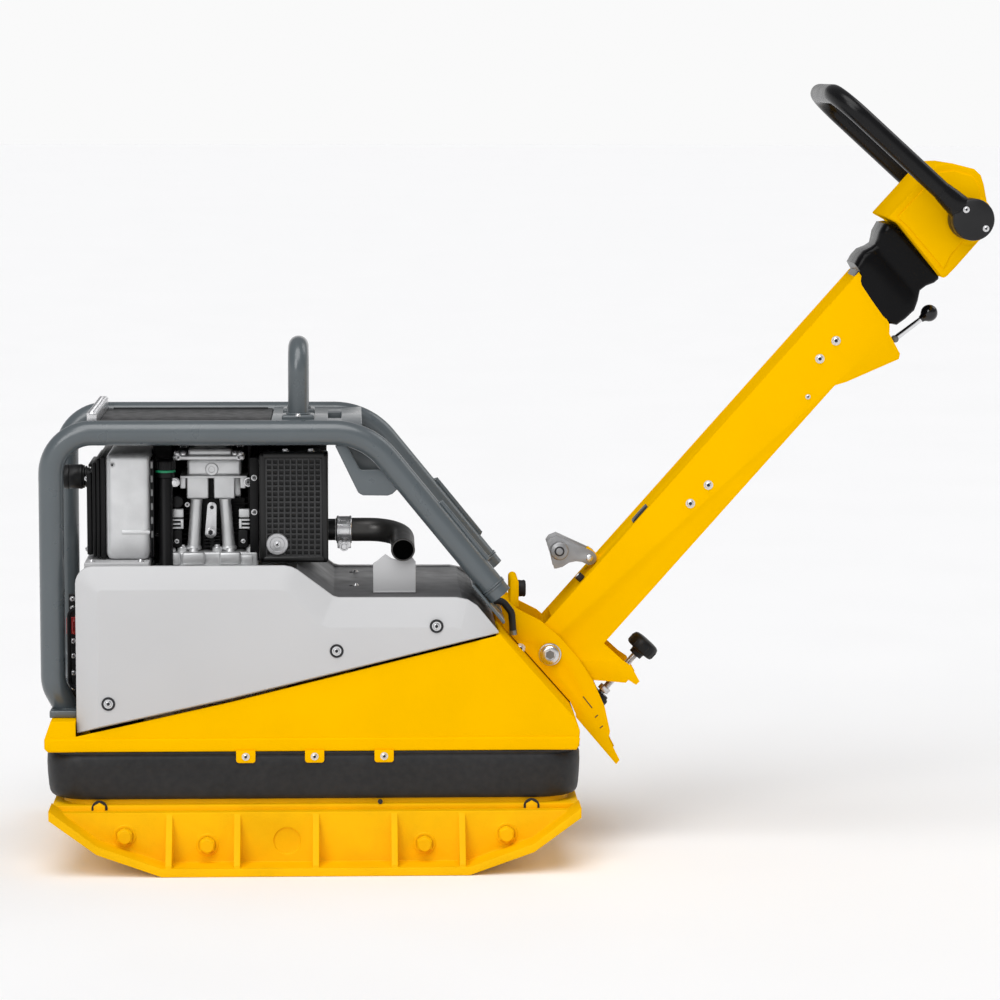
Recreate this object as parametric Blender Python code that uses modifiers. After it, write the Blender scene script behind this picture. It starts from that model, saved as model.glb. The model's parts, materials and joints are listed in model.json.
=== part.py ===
"""Reversible vibratory plate compactor, built as separate pieces in metres.

Frame: +Z up, +X towards the drawbar, -X the front, origin on the ground at the
middle of the base plate's sole. Left is the -Y side.
"""
import math

import bmesh
import bpy
from mathutils import Matrix, Vector

# ---- driving dimensions (metres) ------------------------------------------
GAP = 0.0003                 # clearance between neighbouring pieces
BASE_HALF = 0.450            # half length of the base plate
SOLE_HALF = 0.260            # half length of the flat sole
KNEE_X, KNEE_Z = 0.370, 0.039
TIP_Z, BASE_TOP = 0.098, 0.108
BASE_HALF_Y = 0.225          # half width of the base plate
EXT_OUT_Y = 0.3025           # outer edge of the bolted extension plates
PLATE_T = 0.018
SKIRT_Z0, SKIRT_Z1 = 0.117, 0.1997
BODY_HALF_Y = 0.2225         # half width of the upper frame
FLOOR_Z, FLOOR_T = 0.200, 0.008
COVER_OUT_Y, COVER_IN_Y, COVER_T = 0.228, 0.200, 0.004
TUBE_R, TUBE_Y = 0.0212, 0.175
FRAME_X0, FRAME_TOP = -0.449, 0.742
LEG_TOP_X, LEG_END = 0.0868, (0.3163, 0.4610)
LEG_SHEET_END = (0.3416, 0.4300)
CRANK = (-0.170, 0.345)      # crankshaft axis (x, z)
EXCITER_X, EXCITER_Z = 0.062, 0.100
BELT_Y, BELT_HALF = 0.166, 0.009
CLUTCH_R, PULLEY_R = 0.075, 0.054
GEAR_TEETH = 24
PIVOT = (0.408, 0.3413)      # drawbar hinge (x, z)
DRAWBAR_TILT = math.radians(48.5)
BEAM_HALF_Y, BEAM_TOP, BEAM_LOW = 0.060, 0.041, -0.060
BEAM_END = 0.855
CONSOLE_Y, CONSOLE_T = 0.0635, 0.008
SCREW_W = -0.124             # stop screw axis below the drawbar's axis
LATCH = (0.170, 0.055)       # latch pin (along, above the drawbar's axis)
HUB = (1.1257, 1.1038)       # handle bow hinge (x, z)
BOW_TILT, BOW_LENGTH, BOW_Y, BOW_R = math.radians(137.8), 0.317, 0.145, 0.0165


def clear_scene():
    for obj in list(bpy.data.objects):
        bpy.data.objects.remove(obj, do_unlink=True)


def make_collection(name):
    group = bpy.data.collections.new(name)
    bpy.context.scene.collection.children.link(group)
    return group


clear_scene()
PARTS = make_collection("plate_compactor")
CUTTERS = make_collection("cutters")


def material(name, color, roughness, metallic=0.0):
    mat = bpy.data.materials.get(name)
    if mat is None:
        mat = bpy.data.materials.new(name)
        mat.use_nodes = True
        shader = mat.node_tree.nodes["Principled BSDF"]
        shader.inputs["Base Color"].default_value = (*color, 1.0)
        shader.inputs["Roughness"].default_value = roughness
        shader.inputs["Metallic"].default_value = metallic
    return mat


YELLOW = material("yellow_paint", (0.93, 0.53, 0.01), 0.35)
GREY = material("grey_paint", (0.115, 0.135, 0.150), 0.45)
COVER = material("light_grey_plastic", (0.62, 0.62, 0.62), 0.5)
BLACK = material("black_paint", (0.02, 0.02, 0.022), 0.5)
RUBBER = material("black_rubber", (0.03, 0.03, 0.03), 0.8)
STEEL = material("bare_steel", (0.62, 0.62, 0.62), 0.35, 1.0)
CAST = material("cast_aluminium", (0.68, 0.69, 0.70), 0.45, 1.0)
RED = material("red_plastic", (0.65, 0.02, 0.02), 0.4)


# ---- helpers ---------------------------------------------------------------
def add(name, mesh, mat=None, cutter=False):
    """Links a mesh as a part, or as a cutter that the build leaves out."""
    obj = bpy.data.objects.new(name, mesh)
    if cutter:
        CUTTERS.objects.link(obj)
        obj.hide_render = True
        obj.display_type = "WIRE"
    else:
        PARTS.objects.link(obj)
        if mat:
            mesh.materials.append(mat)
    return obj


def curve_to_mesh(curve_obj, name):
    """A closed mesh from a filled or bevelled curve, in world space."""
    CUTTERS.objects.link(curve_obj)
    bpy.context.view_layer.update()
    evaluated = curve_obj.evaluated_get(bpy.context.evaluated_depsgraph_get())
    mesh = bpy.data.meshes.new_from_object(evaluated)
    mesh.transform(curve_obj.matrix_world)
    mesh.name = name
    mesh.materials.clear()
    bm = bmesh.new()
    bm.from_mesh(mesh)
    bmesh.ops.remove_doubles(bm, verts=bm.verts, dist=0.00002)
    bmesh.ops.recalc_face_normals(bm, faces=bm.faces)
    bm.to_mesh(mesh)
    bm.free()
    bpy.data.objects.remove(curve_obj, do_unlink=True)
    return mesh


def flat(name, outline, y_mid, thickness, mat=None, cutter=False):
    """A sheet in the XZ plane: the outline's points are (x, z)."""
    data = bpy.data.curves.new(name + "_outline", "CURVE")
    data.dimensions = "2D"
    data.fill_mode = "BOTH"
    data.extrude = thickness / 2
    spline = data.splines.new("POLY")
    spline.points.add(len(outline) - 1)
    for point, (x, z) in zip(spline.points, outline):
        point.co = (x, z, 0.0, 1.0)
    spline.use_cyclic_u = True
    obj = bpy.data.objects.new(name + "_outline", data)
    obj.matrix_world = Matrix.Translation((0, y_mid, 0)) @ Matrix.Rotation(math.pi / 2, 4, "X")
    return add(name, curve_to_mesh(obj, name), mat, cutter)


def cross_flat(name, outline, frame, thickness, mat=None, cutter=False):
    """A sheet whose outline lies in the XY plane of the given frame."""
    data = bpy.data.curves.new(name + "_outline", "CURVE")
    data.dimensions = "2D"
    data.fill_mode = "BOTH"
    data.extrude = thickness / 2
    spline = data.splines.new("POLY")
    spline.points.add(len(outline) - 1)
    for point, (x, y) in zip(spline.points, outline):
        point.co = (x, y, 0.0, 1.0)
    spline.use_cyclic_u = True
    obj = bpy.data.objects.new(name + "_outline", data)
    obj.matrix_world = frame
    return add(name, curve_to_mesh(obj, name), mat, cutter)


def block(name, low, high, mat=None, cutter=False, bevel=0.0, frame=None):
    """A box between two corners, with its edges rounded if asked."""
    low, high = Vector(low), Vector(high)
    bm = bmesh.new()
    bmesh.ops.create_cube(bm, size=1.0)
    bmesh.ops.scale(bm, vec=high - low, verts=bm.verts)
    bmesh.ops.translate(bm, vec=(low + high) / 2, verts=bm.verts)
    if frame:
        bmesh.ops.transform(bm, matrix=frame, verts=bm.verts)
    mesh = bpy.data.meshes.new(name)
    bm.to_mesh(mesh)
    bm.free()
    obj = add(name, mesh, mat, cutter)
    if bevel:
        soften(obj, bevel)
    return obj


def soften(obj, width, segments=2):
    mod = obj.modifiers.new("rounded", "BEVEL")
    mod.width = width
    mod.segments = segments
    mod.limit_method = "ANGLE"
    return mod


def smooth(obj):
    obj.data.shade_smooth()
    obj.data.set_sharp_from_angle(angle=math.radians(35))


def rod(name, start, end, radius, mat=None, cutter=False, segments=32, end_radius=None):
    """A round bar, or a cone, between two points."""
    start, end = Vector(start), Vector(end)
    bm = bmesh.new()
    bmesh.ops.create_cone(bm, cap_ends=True, segments=segments, radius1=radius,
                          radius2=radius if end_radius is None else end_radius,
                          depth=(end - start).length)
    turn = (end - start).to_track_quat("Z", "Y").to_matrix().to_4x4()
    bmesh.ops.transform(bm, matrix=Matrix.Translation((start + end) / 2) @ turn, verts=bm.verts)
    mesh = bpy.data.meshes.new(name)
    bm.to_mesh(mesh)
    bm.free()
    obj = add(name, mesh, mat, cutter)
    smooth(obj)
    return obj


def turned(name, profile, centre, axis, mat=None, cutter=False, steps=36, ring=False):
    """A turned piece: (radius, height) points run down its outer side."""
    mesh = bpy.data.meshes.new(name)
    edges = [(i, i + 1) for i in range(len(profile) - 1)]
    if ring:
        edges.append((len(profile) - 1, 0))
    mesh.from_pydata([(r, 0.0, h) for r, h in profile], edges, [])
    obj = add(name, mesh, mat, cutter)
    turn = Vector(axis).to_track_quat("Z", "Y").to_matrix().to_4x4()
    obj.matrix_world = Matrix.Translation(centre) @ turn
    mod = obj.modifiers.new("turned", "SCREW")
    mod.steps = steps
    mod.render_steps = steps
    mod.use_merge_vertices = True
    mod.merge_threshold = 0.00005
    mod.use_smooth_shade = True
    return obj


def bent(points, radius, steps=6):
    """Rounds the inner corners of a path with arcs of the given radius."""
    points = [Vector(p) for p in points]
    path = [points[0]]
    for before, corner, after in zip(points, points[1:], points[2:]):
        a, b = (before - corner).normalized(), (after - corner).normalized()
        half = a.angle(b) / 2
        reach = radius / math.tan(half)
        centre = corner + (a + b).normalized() * radius / math.sin(half)
        first, last = corner + a * reach - centre, corner + b * reach - centre
        sweep = first.angle(last)
        for i in range(steps + 1):
            t = i / steps
            arc = first * math.sin((1 - t) * sweep) + last * math.sin(t * sweep)
            path.append(centre + arc / math.sin(sweep))
    path.append(points[-1])
    return path


def pipe(name, path, radius, mat=None, cutter=False, closed=False, resolution=4):
    """A round bar along a path."""
    data = bpy.data.curves.new(name + "_path", "CURVE")
    data.dimensions = "3D"
    data.bevel_depth = radius
    data.bevel_resolution = resolution
    data.use_fill_caps = True
    spline = data.splines.new("POLY")
    spline.points.add(len(path) - 1)
    for point, co in zip(spline.points, path):
        point.co = (*co, 1.0)
    spline.use_cyclic_u = closed
    obj = add(name, curve_to_mesh(bpy.data.objects.new(name + "_path", data), name), mat, cutter)
    smooth(obj)
    return obj


def boolean(obj, other, operation):
    mod = obj.modifiers.new(operation.lower(), "BOOLEAN")
    mod.operation = operation
    mod.object = other
    mod.solver = "EXACT"
    return obj


def cut(obj, *cutters):
    for other in cutters:
        boolean(obj, other, "DIFFERENCE")
    return obj


def weld_on(obj, *others):
    for other in others:
        boolean(obj, other, "UNION")
    return obj


def mirrored(obj, name, mat):
    """The other side's copy of a piece, mirrored in the XZ plane."""
    bpy.context.view_layer.update()
    evaluated = obj.evaluated_get(bpy.context.evaluated_depsgraph_get())
    mesh = bpy.data.meshes.new_from_object(evaluated)
    mesh.transform(obj.matrix_world)
    mesh.transform(Matrix.Scale(-1, 4, (0, 1, 0)))
    mesh.flip_normals()
    mesh.materials.clear()
    return add(name, mesh, mat)


def arc(cx, cz, radius, start, end, steps=8):
    """Points (x, z) on an arc, with its angles in degrees."""
    turn = [math.radians(start + (end - start) * i / steps) for i in range(steps + 1)]
    return [(cx + radius * math.cos(a), cz + radius * math.sin(a)) for a in turn]


def on_bar(along, above, y=0.0):
    """A world point from a place along and above the drawbar's axis."""
    c, s = math.cos(DRAWBAR_TILT), math.sin(DRAWBAR_TILT)
    return (PIVOT[0] + along * c - above * s, y, PIVOT[1] + along * s + above * c)


def bar_outline(points):
    return [(on_bar(u, w)[0], on_bar(u, w)[2]) for u, w in points]


def bar_frame():
    """Drawbar axes: x along it, y across the machine, z above it."""
    turn = Matrix.Rotation(-DRAWBAR_TILT, 4, "Y")
    return Matrix.Translation((PIVOT[0], 0, PIVOT[1])) @ turn


# ---- lower mass ------------------------------------------------------------
def sole_line(inset=0.0):
    """The underside from front tip to rear tip, raised by the inset."""
    half = [(SOLE_HALF, inset), (KNEE_X, KNEE_Z + inset * 1.05), (BASE_HALF, TIP_Z + inset * 1.2)]
    return [(-x, z) for x, z in reversed(half)] + half


def base_plate():
    outline = sole_line() + [(BASE_HALF, BASE_TOP), (-BASE_HALF, BASE_TOP)]
    plate = flat("base_plate", outline, 0, 2 * BASE_HALF_Y, YELLOW)
    inner = [(x * 0.955, z) for x, z in sole_line(PLATE_T)][1:-1]
    high = BASE_TOP + 0.05
    pocket = [(-0.418, high), (-0.418, 0.092)] + inner + [(0.418, 0.092), (0.418, high)]
    cut(plate, flat("base_pocket", pocket, 0, 2 * BASE_HALF_Y - 0.046, cutter=True))
    frame = Matrix.Translation((0, 0, 0.115))
    rim = cross_flat("base_rim", rounded_rectangle(-0.434, 0.434, 0.211, 0.052), frame, 0.040,
                     cutter=True)
    hollow = rounded_rectangle(-0.416, 0.416, 0.195, 0.040)
    cut(rim, cross_flat("base_rim_inside", hollow, frame, 0.060, cutter=True))
    weld_on(plate, rim)
    for x in (-0.320, 0.320):
        for y in (-0.135, 0.135):
            weld_on(plate, rod("base_post", (x, y, 0.036), (x, y, 0.125), 0.034, cutter=True))
    return plate


def extension_plate():
    wall_y, wall_t = BASE_HALF_Y + GAP, 0.022
    top = 0.100
    wall = sole_line() + [(BASE_HALF, top), (-BASE_HALF, top)]
    plate = flat("extension_plate_left", wall, -(wall_y + wall_t / 2), wall_t, YELLOW)
    skin_t = 0.014
    skin = sole_line() + [(x, z) for x, z in reversed(sole_line(skin_t))]
    width = EXT_OUT_Y - wall_y - 0.004
    weld_on(plate, flat("extension_skin", skin, -(EXT_OUT_Y - width / 2), width, cutter=True))
    for x, foot in ((-0.249, 0.0), (-0.1335, 0.0), (0.0, 0.0), (0.1335, 0.0), (0.249, 0.0)):
        side = [(-(wall_y + 0.01), foot + 0.005), (-(EXT_OUT_Y - 0.004), foot + 0.005),
                (-(EXT_OUT_Y - 0.004), foot + 0.018), (-(wall_y + wall_t), top - 0.003),
                (-(wall_y + 0.01), top - 0.003)]
        turn = Matrix(((0, 0, 1, x), (1, 0, 0, 0), (0, 1, 0, 0), (0, 0, 0, 1)))
        weld_on(plate, cross_flat("extension_rib", side, turn, 0.011, cutter=True))
    for x, z in ((-0.325, 0.060), (-0.185, 0.044), (0.185, 0.044), (0.325, 0.060)):
        hole = (wall_y + wall_t)
        weld_on(plate, rod("extension_bolt", (x, -hole + 0.002, z), (x, -hole - 0.012, z), 0.0145,
                           cutter=True, segments=6))
    recess_y = wall_y + wall_t - 0.003
    cut(plate, rod("extension_recess", (-0.0492, -recess_y, 0.0500), (-0.0492, -recess_y - 0.05, 0.0500),
                   0.0230, cutter=True, segments=36))
    mirrored(plate, "extension_plate_right", YELLOW)


def stadium(radius, steps=12):
    """Outline round both exciter shafts."""
    right = arc(EXCITER_X, EXCITER_Z, radius, -90, 90, steps)
    left = arc(-EXCITER_X, EXCITER_Z, radius, 90, 270, steps)
    return right + left


def exciter():
    length = 0.120
    housing = flat("exciter_housing", stadium(0.078), 0, 2 * length, CAST)
    foot_z = PLATE_T + GAP
    for side in (-1, 1):
        low, high = sorted((side * 0.070, side * 0.165))
        weld_on(housing, block("exciter_foot", (low, -0.100, foot_z), (high, 0.100, foot_z + 0.024),
                               cutter=True))
    cut(housing, flat("exciter_bore", stadium(0.069), 0, 2 * length + 0.02, cutter=True))
    for name, side in (("exciter_cover_left", -1), ("exciter_cover_right", 1)):
        mid = side * (length + GAP + 0.007)
        cover = flat(name, stadium(0.078), mid, 0.014, CAST)
        if side > 0:
            hole = rod("shaft_hole", (-EXCITER_X, 0.10, EXCITER_Z), (-EXCITER_X, 0.15, EXCITER_Z),
                       0.0185, cutter=True)
            cut(cover, hole)
    exciter_shaft("exciter_shaft_front", -EXCITER_X, 0.186)
    exciter_shaft("exciter_shaft_rear", EXCITER_X, 0.118)
    gear("exciter_gear_front", -EXCITER_X, 0.0)
    gear("exciter_gear_rear", EXCITER_X, 0.5)
    grooved = [(0.0155, 0.014), (PULLEY_R, 0.014), (PULLEY_R, 0.010), (PULLEY_R - 0.012, 0.004),
               (PULLEY_R - 0.012, -0.004), (PULLEY_R, -0.010), (PULLEY_R, -0.014), (0.0155, -0.014)]
    turned("exciter_pulley", grooved, (-EXCITER_X, BELT_Y, EXCITER_Z), (0, 1, 0), STEEL, ring=True)


def exciter_shaft(name, x, end):
    """A shaft with its off-centre weight, a half disc below the axis."""
    shaft = rod(name, (x, -0.118, EXCITER_Z), (x, end, EXCITER_Z), 0.015, STEEL)
    half = arc(x, EXCITER_Z, 0.048, 180, 360, 16)
    weld_on(shaft, flat("exciter_weight", half, -0.012, 0.130, cutter=True))
    return shaft


def gear(name, x, phase):
    """A spur gear, meshing with its twin on the other exciter shaft."""
    pitch = math.tau / GEAR_TEETH
    outline = []
    for tooth in range(GEAR_TEETH):
        middle = (tooth + phase) * pitch
        for radius, share in ((0.0555, -0.30), (0.0655, -0.12), (0.0655, 0.12), (0.0555, 0.30)):
            angle = middle + share * pitch
            outline.append((x + radius * math.cos(angle), EXCITER_Z + radius * math.sin(angle)))
    wheel = flat(name, outline, 0.085, 0.024, STEEL)
    cut(wheel, rod("gear_bore", (x, 0.05, EXCITER_Z), (x, 0.11, EXCITER_Z), 0.0155, cutter=True))
    return wheel


def buffers():
    low, high = 0.125 + GAP, FLOOR_Z - GAP
    middle = (low + high) / 2
    half = (high - low) / 2
    profile = [(0, half), (0.034, half), (0.034, half - 0.006), (0.029, 0.0),
               (0.034, -half + 0.006), (0.034, -half), (0, -half)]
    spots = ((-0.32, -0.135), (-0.32, 0.135), (0.32, -0.135), (0.32, 0.135))
    for name, (x, y) in zip(("front_left", "front_right", "rear_left", "rear_right"), spots):
        turned("buffer_" + name, profile, (x, y, middle), (0, 0, 1), RUBBER, steps=24)


# ---- upper mass: tray, skirt and covers ------------------------------------
PARTING = [(-0.4085, 0.2265), (-0.146, 0.285), (0.315, 0.399)]
TRAY_FRONT = [(-0.4085, 0.2535), (-0.451, 0.2535), (-0.462, 0.222), (-0.462, 0.206),
              (-0.456, FLOOR_Z)]
TRAY_REAR = [(0.446, FLOOR_Z), (0.450, 0.209), (0.452, 0.2335), (0.442, 0.256),
             (0.3185, 0.396)]


def upper_frame():
    outline = PARTING + TRAY_REAR[::-1] + TRAY_FRONT[::-1]
    tray = flat("upper_frame", outline, 0, 2 * BODY_HALF_Y, YELLOW)
    floor = FLOOR_Z + FLOOR_T
    inner = [(-0.450, floor), (-0.450, 0.221), (-0.443, 0.2455), (-0.392, 0.2455), (-0.392, 0.6),
             (0.308, 0.6), (0.308, 0.394), (0.433, 0.252), (0.442, 0.232), (0.440, floor)]
    cut(tray, flat("tray_pocket", inner, 0, 2 * (BODY_HALF_Y - 0.006), cutter=True))
    cut(tray, block("belt_slot", (-0.30, BELT_Y - 0.021, 0.15), (0.02, BELT_Y + 0.021, 0.23),
                    cutter=True))
    return tray


def rounded_rectangle(x0, x1, half_y, radius, steps=6):
    corners = ((x1 - radius, half_y - radius, 0), (x0 + radius, half_y - radius, 90),
               (x0 + radius, radius - half_y, 180), (x1 - radius, radius - half_y, 270))
    points = []
    for cx, cy, start in corners:
        points += arc(cx, cy, radius, start, start + 90, steps)
    return points


def rubber_skirt():
    """The belt of rubber that hides the gap between the two masses."""
    height, thickness = SKIRT_Z1 - SKIRT_Z0, 0.007
    frame = Matrix.Translation((0, 0, (SKIRT_Z0 + SKIRT_Z1) / 2))
    front, back = -0.462, 0.455
    skirt = cross_flat("rubber_skirt", rounded_rectangle(front, back, 0.2250, 0.065), frame,
                       height, RUBBER)
    inside = rounded_rectangle(front + thickness, back - thickness, 0.2250 - thickness, 0.058)
    return cut(skirt, cross_flat("skirt_inside", inside, frame, height + 0.02, cutter=True))


def cover_outline(inset=0.0):
    """The side cover seen from the side, clockwise from the lower front."""
    lift = 0.003 + inset
    x0, top, deck = -0.4075 + inset, 0.518 - inset, 0.463 - inset
    low = [(x0, 0.2275 + lift * 1.1), (-0.146, 0.285 + lift), (0.3125 - inset, 0.3975 + lift)]
    front = arc(x0 + 0.030, top - 0.030, 0.030, 90, 180, 5)
    rear = [(0.278 - inset * 0.4, 0.446 - inset * 0.6), (0.251, deck)]
    return low + rear + [(0.0325 - inset * 0.4, deck + 0.0015), (-0.035 - inset * 0.4, top)] + front


def side_cover():
    depth = COVER_OUT_Y - COVER_IN_Y
    mid = -(COVER_OUT_Y + COVER_IN_Y) / 2
    cover = flat("side_cover_left", cover_outline(), mid, depth, COVER)
    inner = cover_outline(COVER_T)
    cut(cover, flat("cover_inside", inner, mid + COVER_T, depth, cutter=True))
    mirrored(cover, "side_cover_right", COVER)


def rear_hood():
    """Folded sheet that decks the rear compartment between the covers."""
    outer = [(-0.0320, 0.5092), (0.031, 0.4605), (0.249, 0.4605), (0.276, 0.4435), (0.3105, 0.4035)]
    thickness = 0.003
    inner = [(x - thickness * 0.5, z - thickness) for x, z in reversed(outer)]
    return flat("rear_hood", outer + inner, 0, 2 * (COVER_IN_Y - 0.001), BLACK)


# ---- upper mass: protective frame ------------------------------------------
def frame_path(side):
    y = side * TUBE_Y
    start = [(-0.430, side * 0.150, 0.2672), (FRAME_X0, side * TUBE_Y, 0.310)]
    lift = bent(start + [(FRAME_X0, y, FRAME_TOP - 0.15)], 0.05, 4)
    top = bent([(FRAME_X0, y, FRAME_TOP - 0.15), (FRAME_X0, y, FRAME_TOP),
                (-0.20, y, FRAME_TOP)], 0.070, 7)
    rear = bent([(-0.20, y, FRAME_TOP), (LEG_TOP_X, y, FRAME_TOP), (LEG_END[0], y, LEG_END[1])],
                0.118, 7)
    return lift + top[1:] + rear[1:]


def frame_tube():
    tube = pipe("frame_tube_left", frame_path(-1), TUBE_R, GREY)
    foot = block("frame_foot", (-0.4550, -0.190, 0.2538), (-0.4070, -0.110, 0.2660), cutter=True)
    outer = [(0.034, 0.720), (0.073, 0.640), (0.081, 0.634), (0.128, 0.634), (0.150, 0.652),
             (0.127, 0.680), (0.118, 0.678), (0.078, 0.678), (0.053, 0.722)]
    hook = flat("frame_hook", outer, -TUBE_Y, 0.006, cutter=True)
    weld_on(tube, foot, hook)
    mirrored(tube, "frame_tube_right", GREY)


def frame_rear_plate():
    """Sheet that ties the slanted legs together behind the rear hood."""
    slope = Vector((LEG_END[0] - LEG_TOP_X, 0, LEG_END[1] - FRAME_TOP)).normalized()
    normal = Vector((slope.z, 0, -slope.x))
    end = Vector((LEG_SHEET_END[0], 0, LEG_SHEET_END[1]))
    near, far = TUBE_R + GAP, TUBE_R + GAP + 0.005
    corners = [end + normal * near, end - slope * 0.085 + normal * near,
               end - slope * 0.085 + normal * far, end + normal * far]
    plate = flat("frame_rear_plate", [(p.x, p.z) for p in corners], 0, 2 * 0.192, GREY)
    return cut(plate, block("hose_notch", (0.28, -0.104, 0.38), (0.36, -0.072, 0.458), cutter=True))


def top_panel():
    z0, z1 = FRAME_TOP - 0.004, FRAME_TOP + 0.012
    wide = TUBE_Y - TUBE_R - GAP
    return block("top_panel", (-0.392, -wide, z0), (-0.0765, wide, z1), BLACK, bevel=0.003)


def lifting_bridge():
    """Cross plate between the tubes with its welded lifting eye."""
    wide = TUBE_Y - TUBE_R - GAP
    deck = FRAME_TOP + 0.014
    bridge = block("lifting_bridge", (-0.0760, -wide, FRAME_TOP - 0.012), (0.080, wide, deck), GREY)
    cut(bridge, block("bridge_slot", (0.022, -0.055, 0.70), (0.044, 0.055, 0.80), cutter=True))
    eye_r, half = 0.0175, 0.058
    top = 0.894 - eye_r
    path = [(-0.030, -half, deck - 0.004), (-0.030, -half, top), (-0.030, half, top),
            (-0.030, half, deck - 0.004)]
    weld_on(bridge, pipe("lifting_eye", bent(path, 0.045, 7), eye_r, cutter=True))
    for side in (-1, 1):
        weld_on(bridge, block("eye_pad", (-0.058, side * half - 0.026, deck - 0.004),
                              (-0.002, side * half + 0.026, deck + 0.007), cutter=True))
    return bridge


# ---- upper mass: engine ----------------------------------------------------
def engine_block():
    base = FLOOR_Z + FLOOR_T + GAP
    crank_x, crank_z = CRANK
    case = block("engine_block", (-0.300, -0.110, base), (-0.050, 0.110, 0.500), CAST)
    cut(case, rod("crank_bore", (crank_x, -0.13, crank_z), (crank_x, 0.13, crank_z), 0.088,
                  cutter=True, segments=40))
    neck = rod("oil_filler_neck", (-0.2590, -0.0935, 0.495), (-0.2590, -0.0935, 0.6575 - GAP), 0.0125,
               cutter=True, segments=24)
    return weld_on(case, neck)


def crankshaft():
    x, z = CRANK
    shaft = rod("crankshaft", (x, -0.150, z), (x, 0.186, z), 0.018, STEEL)
    wheel = rod("flywheel", (x, -0.148, z), (x, -0.116, z), 0.118, cutter=True, segments=48)
    web = flat("crank_web", [(x - 0.030, z - 0.070), (x + 0.030, z - 0.070), (x + 0.024, z + 0.050),
                             (x - 0.024, z + 0.050)], 0, 0.070, cutter=True)
    weld_on(shaft, wheel, web)
    grooved = [(0.0185, 0.016), (CLUTCH_R, 0.016), (CLUTCH_R, 0.010), (CLUTCH_R - 0.012, 0.004),
               (CLUTCH_R - 0.012, -0.004), (CLUTCH_R, -0.010), (CLUTCH_R, -0.030),
               (0.0185, -0.030)]
    turned("clutch_pulley", grooved, (x, BELT_Y, z), (0, 1, 0), STEEL, ring=True)


def belt_loop(extra):
    """Outline round both pulleys' belt line, grown by extra."""
    top, low = Vector((CRANK[0], CRANK[1])), Vector((-EXCITER_X, EXCITER_Z))
    r_top, r_low = CLUTCH_R - 0.012 + extra, PULLEY_R - 0.012 + extra
    line = low - top
    bearing = math.degrees(math.atan2(line.y, line.x))
    lean = math.degrees(math.acos((r_top - r_low) / line.length))
    upper = arc(top.x, top.y, r_top, bearing + lean, bearing + 360 - lean, 24)
    lower = arc(low.x, low.y, r_low, bearing - lean, bearing + lean, 14)
    return upper + lower


def drive_belt():
    belt = flat("drive_belt", belt_loop(0.010), BELT_Y, 0.007, RUBBER)
    return cut(belt, flat("belt_inside", belt_loop(0.0006), BELT_Y, 0.03, cutter=True))


def cylinder():
    x0, x1 = -0.226, -0.118
    base = block("cylinder", (x0 - 0.016, -0.085, 0.500 + GAP), (x1 + 0.018, 0.075, 0.528), CAST,
                 bevel=0.004)
    barrel = block("cylinder_barrel", (x0, -0.058, 0.520), (x1, 0.062, 0.616 - GAP), cutter=True)
    return weld_on(base, barrel)


def cylinder_head():
    head = block("cylinder_head", (-0.235, -0.070, 0.6525), (-0.123, 0.070, 0.684), CAST, bevel=0.003)
    low = block("head_lower", (-0.222, -0.040, 0.616), (-0.130, 0.060, 0.654), cutter=True)
    front = block("valve_box_front", (-0.223, -0.068, 0.6166), (-0.186, -0.030, 0.655), cutter=True)
    rear = block("valve_box_rear", (-0.1765, -0.068, 0.6166), (-0.141, -0.030, 0.655), cutter=True)
    weld_on(head, low, front, rear)
    cover = block("rocker_cover", (-0.247, -0.074, 0.684 + GAP), (-0.123, 0.074, 0.7037), CAST,
                  bevel=0.006)
    return head, cover


def pushrod_tubes():
    foot, top = 0.528 + GAP, 0.6166 - GAP
    rod("pushrod_tube_front", (-0.2085, -0.0665, foot), (-0.2085, -0.0665, top), 0.0073, STEEL,
        segments=20)
    rod("pushrod_tube_rear", (-0.1530, -0.0665, foot), (-0.1565, -0.0665, top), 0.0073, STEEL,
        segments=20)


def air_path():
    housing = block("blower_housing", (-0.3600, -0.125, 0.5170), (-0.2840, 0.125, 0.7020), CAST,
                    bevel=0.012)
    guide = block("air_guide", (-0.3935, -0.118, 0.5190), (-0.3603, 0.118, 0.6960), BLACK, bevel=0.005)
    profile = [(0, 0.018), (0.019, 0.018), (0.021, 0.015), (0.021, -0.016), (0.012, -0.018),
               (0.012, -0.0235), (0, -0.0235)]
    turned("air_intake", profile, (-0.4175, -0.060, 0.6550), (-1, 0, 0), BLACK, steps=28)
    return housing, guide


def oil_filler():
    profile = [(0, 0.0155), (0.0150, 0.0155), (0.0170, 0.0125), (0.0170, -0.0065), (0.0145, -0.0070),
               (0.0145, -0.0150), (0, -0.0150)]
    return turned("oil_filler_cap", profile, (-0.2590, -0.0935, 0.6725), (0, 0, 1), BLACK, steps=28)


def stop_lever():
    """Engine stop lever with its hub, on the side of the cylinder base."""
    x, z = -0.1820, 0.5600
    outline = arc(x, z, 0.011, 200, 340, 6) + arc(x + 0.003, 0.6050, 0.008, 0, 180, 6)
    lever = flat("stop_lever", outline, -0.0825, 0.004, STEEL)
    hub = rod("stop_lever_hub", (x, -0.0870, z), (x, -0.0583, z), 0.008, cutter=True, segments=20)
    return weld_on(lever, hub)


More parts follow.
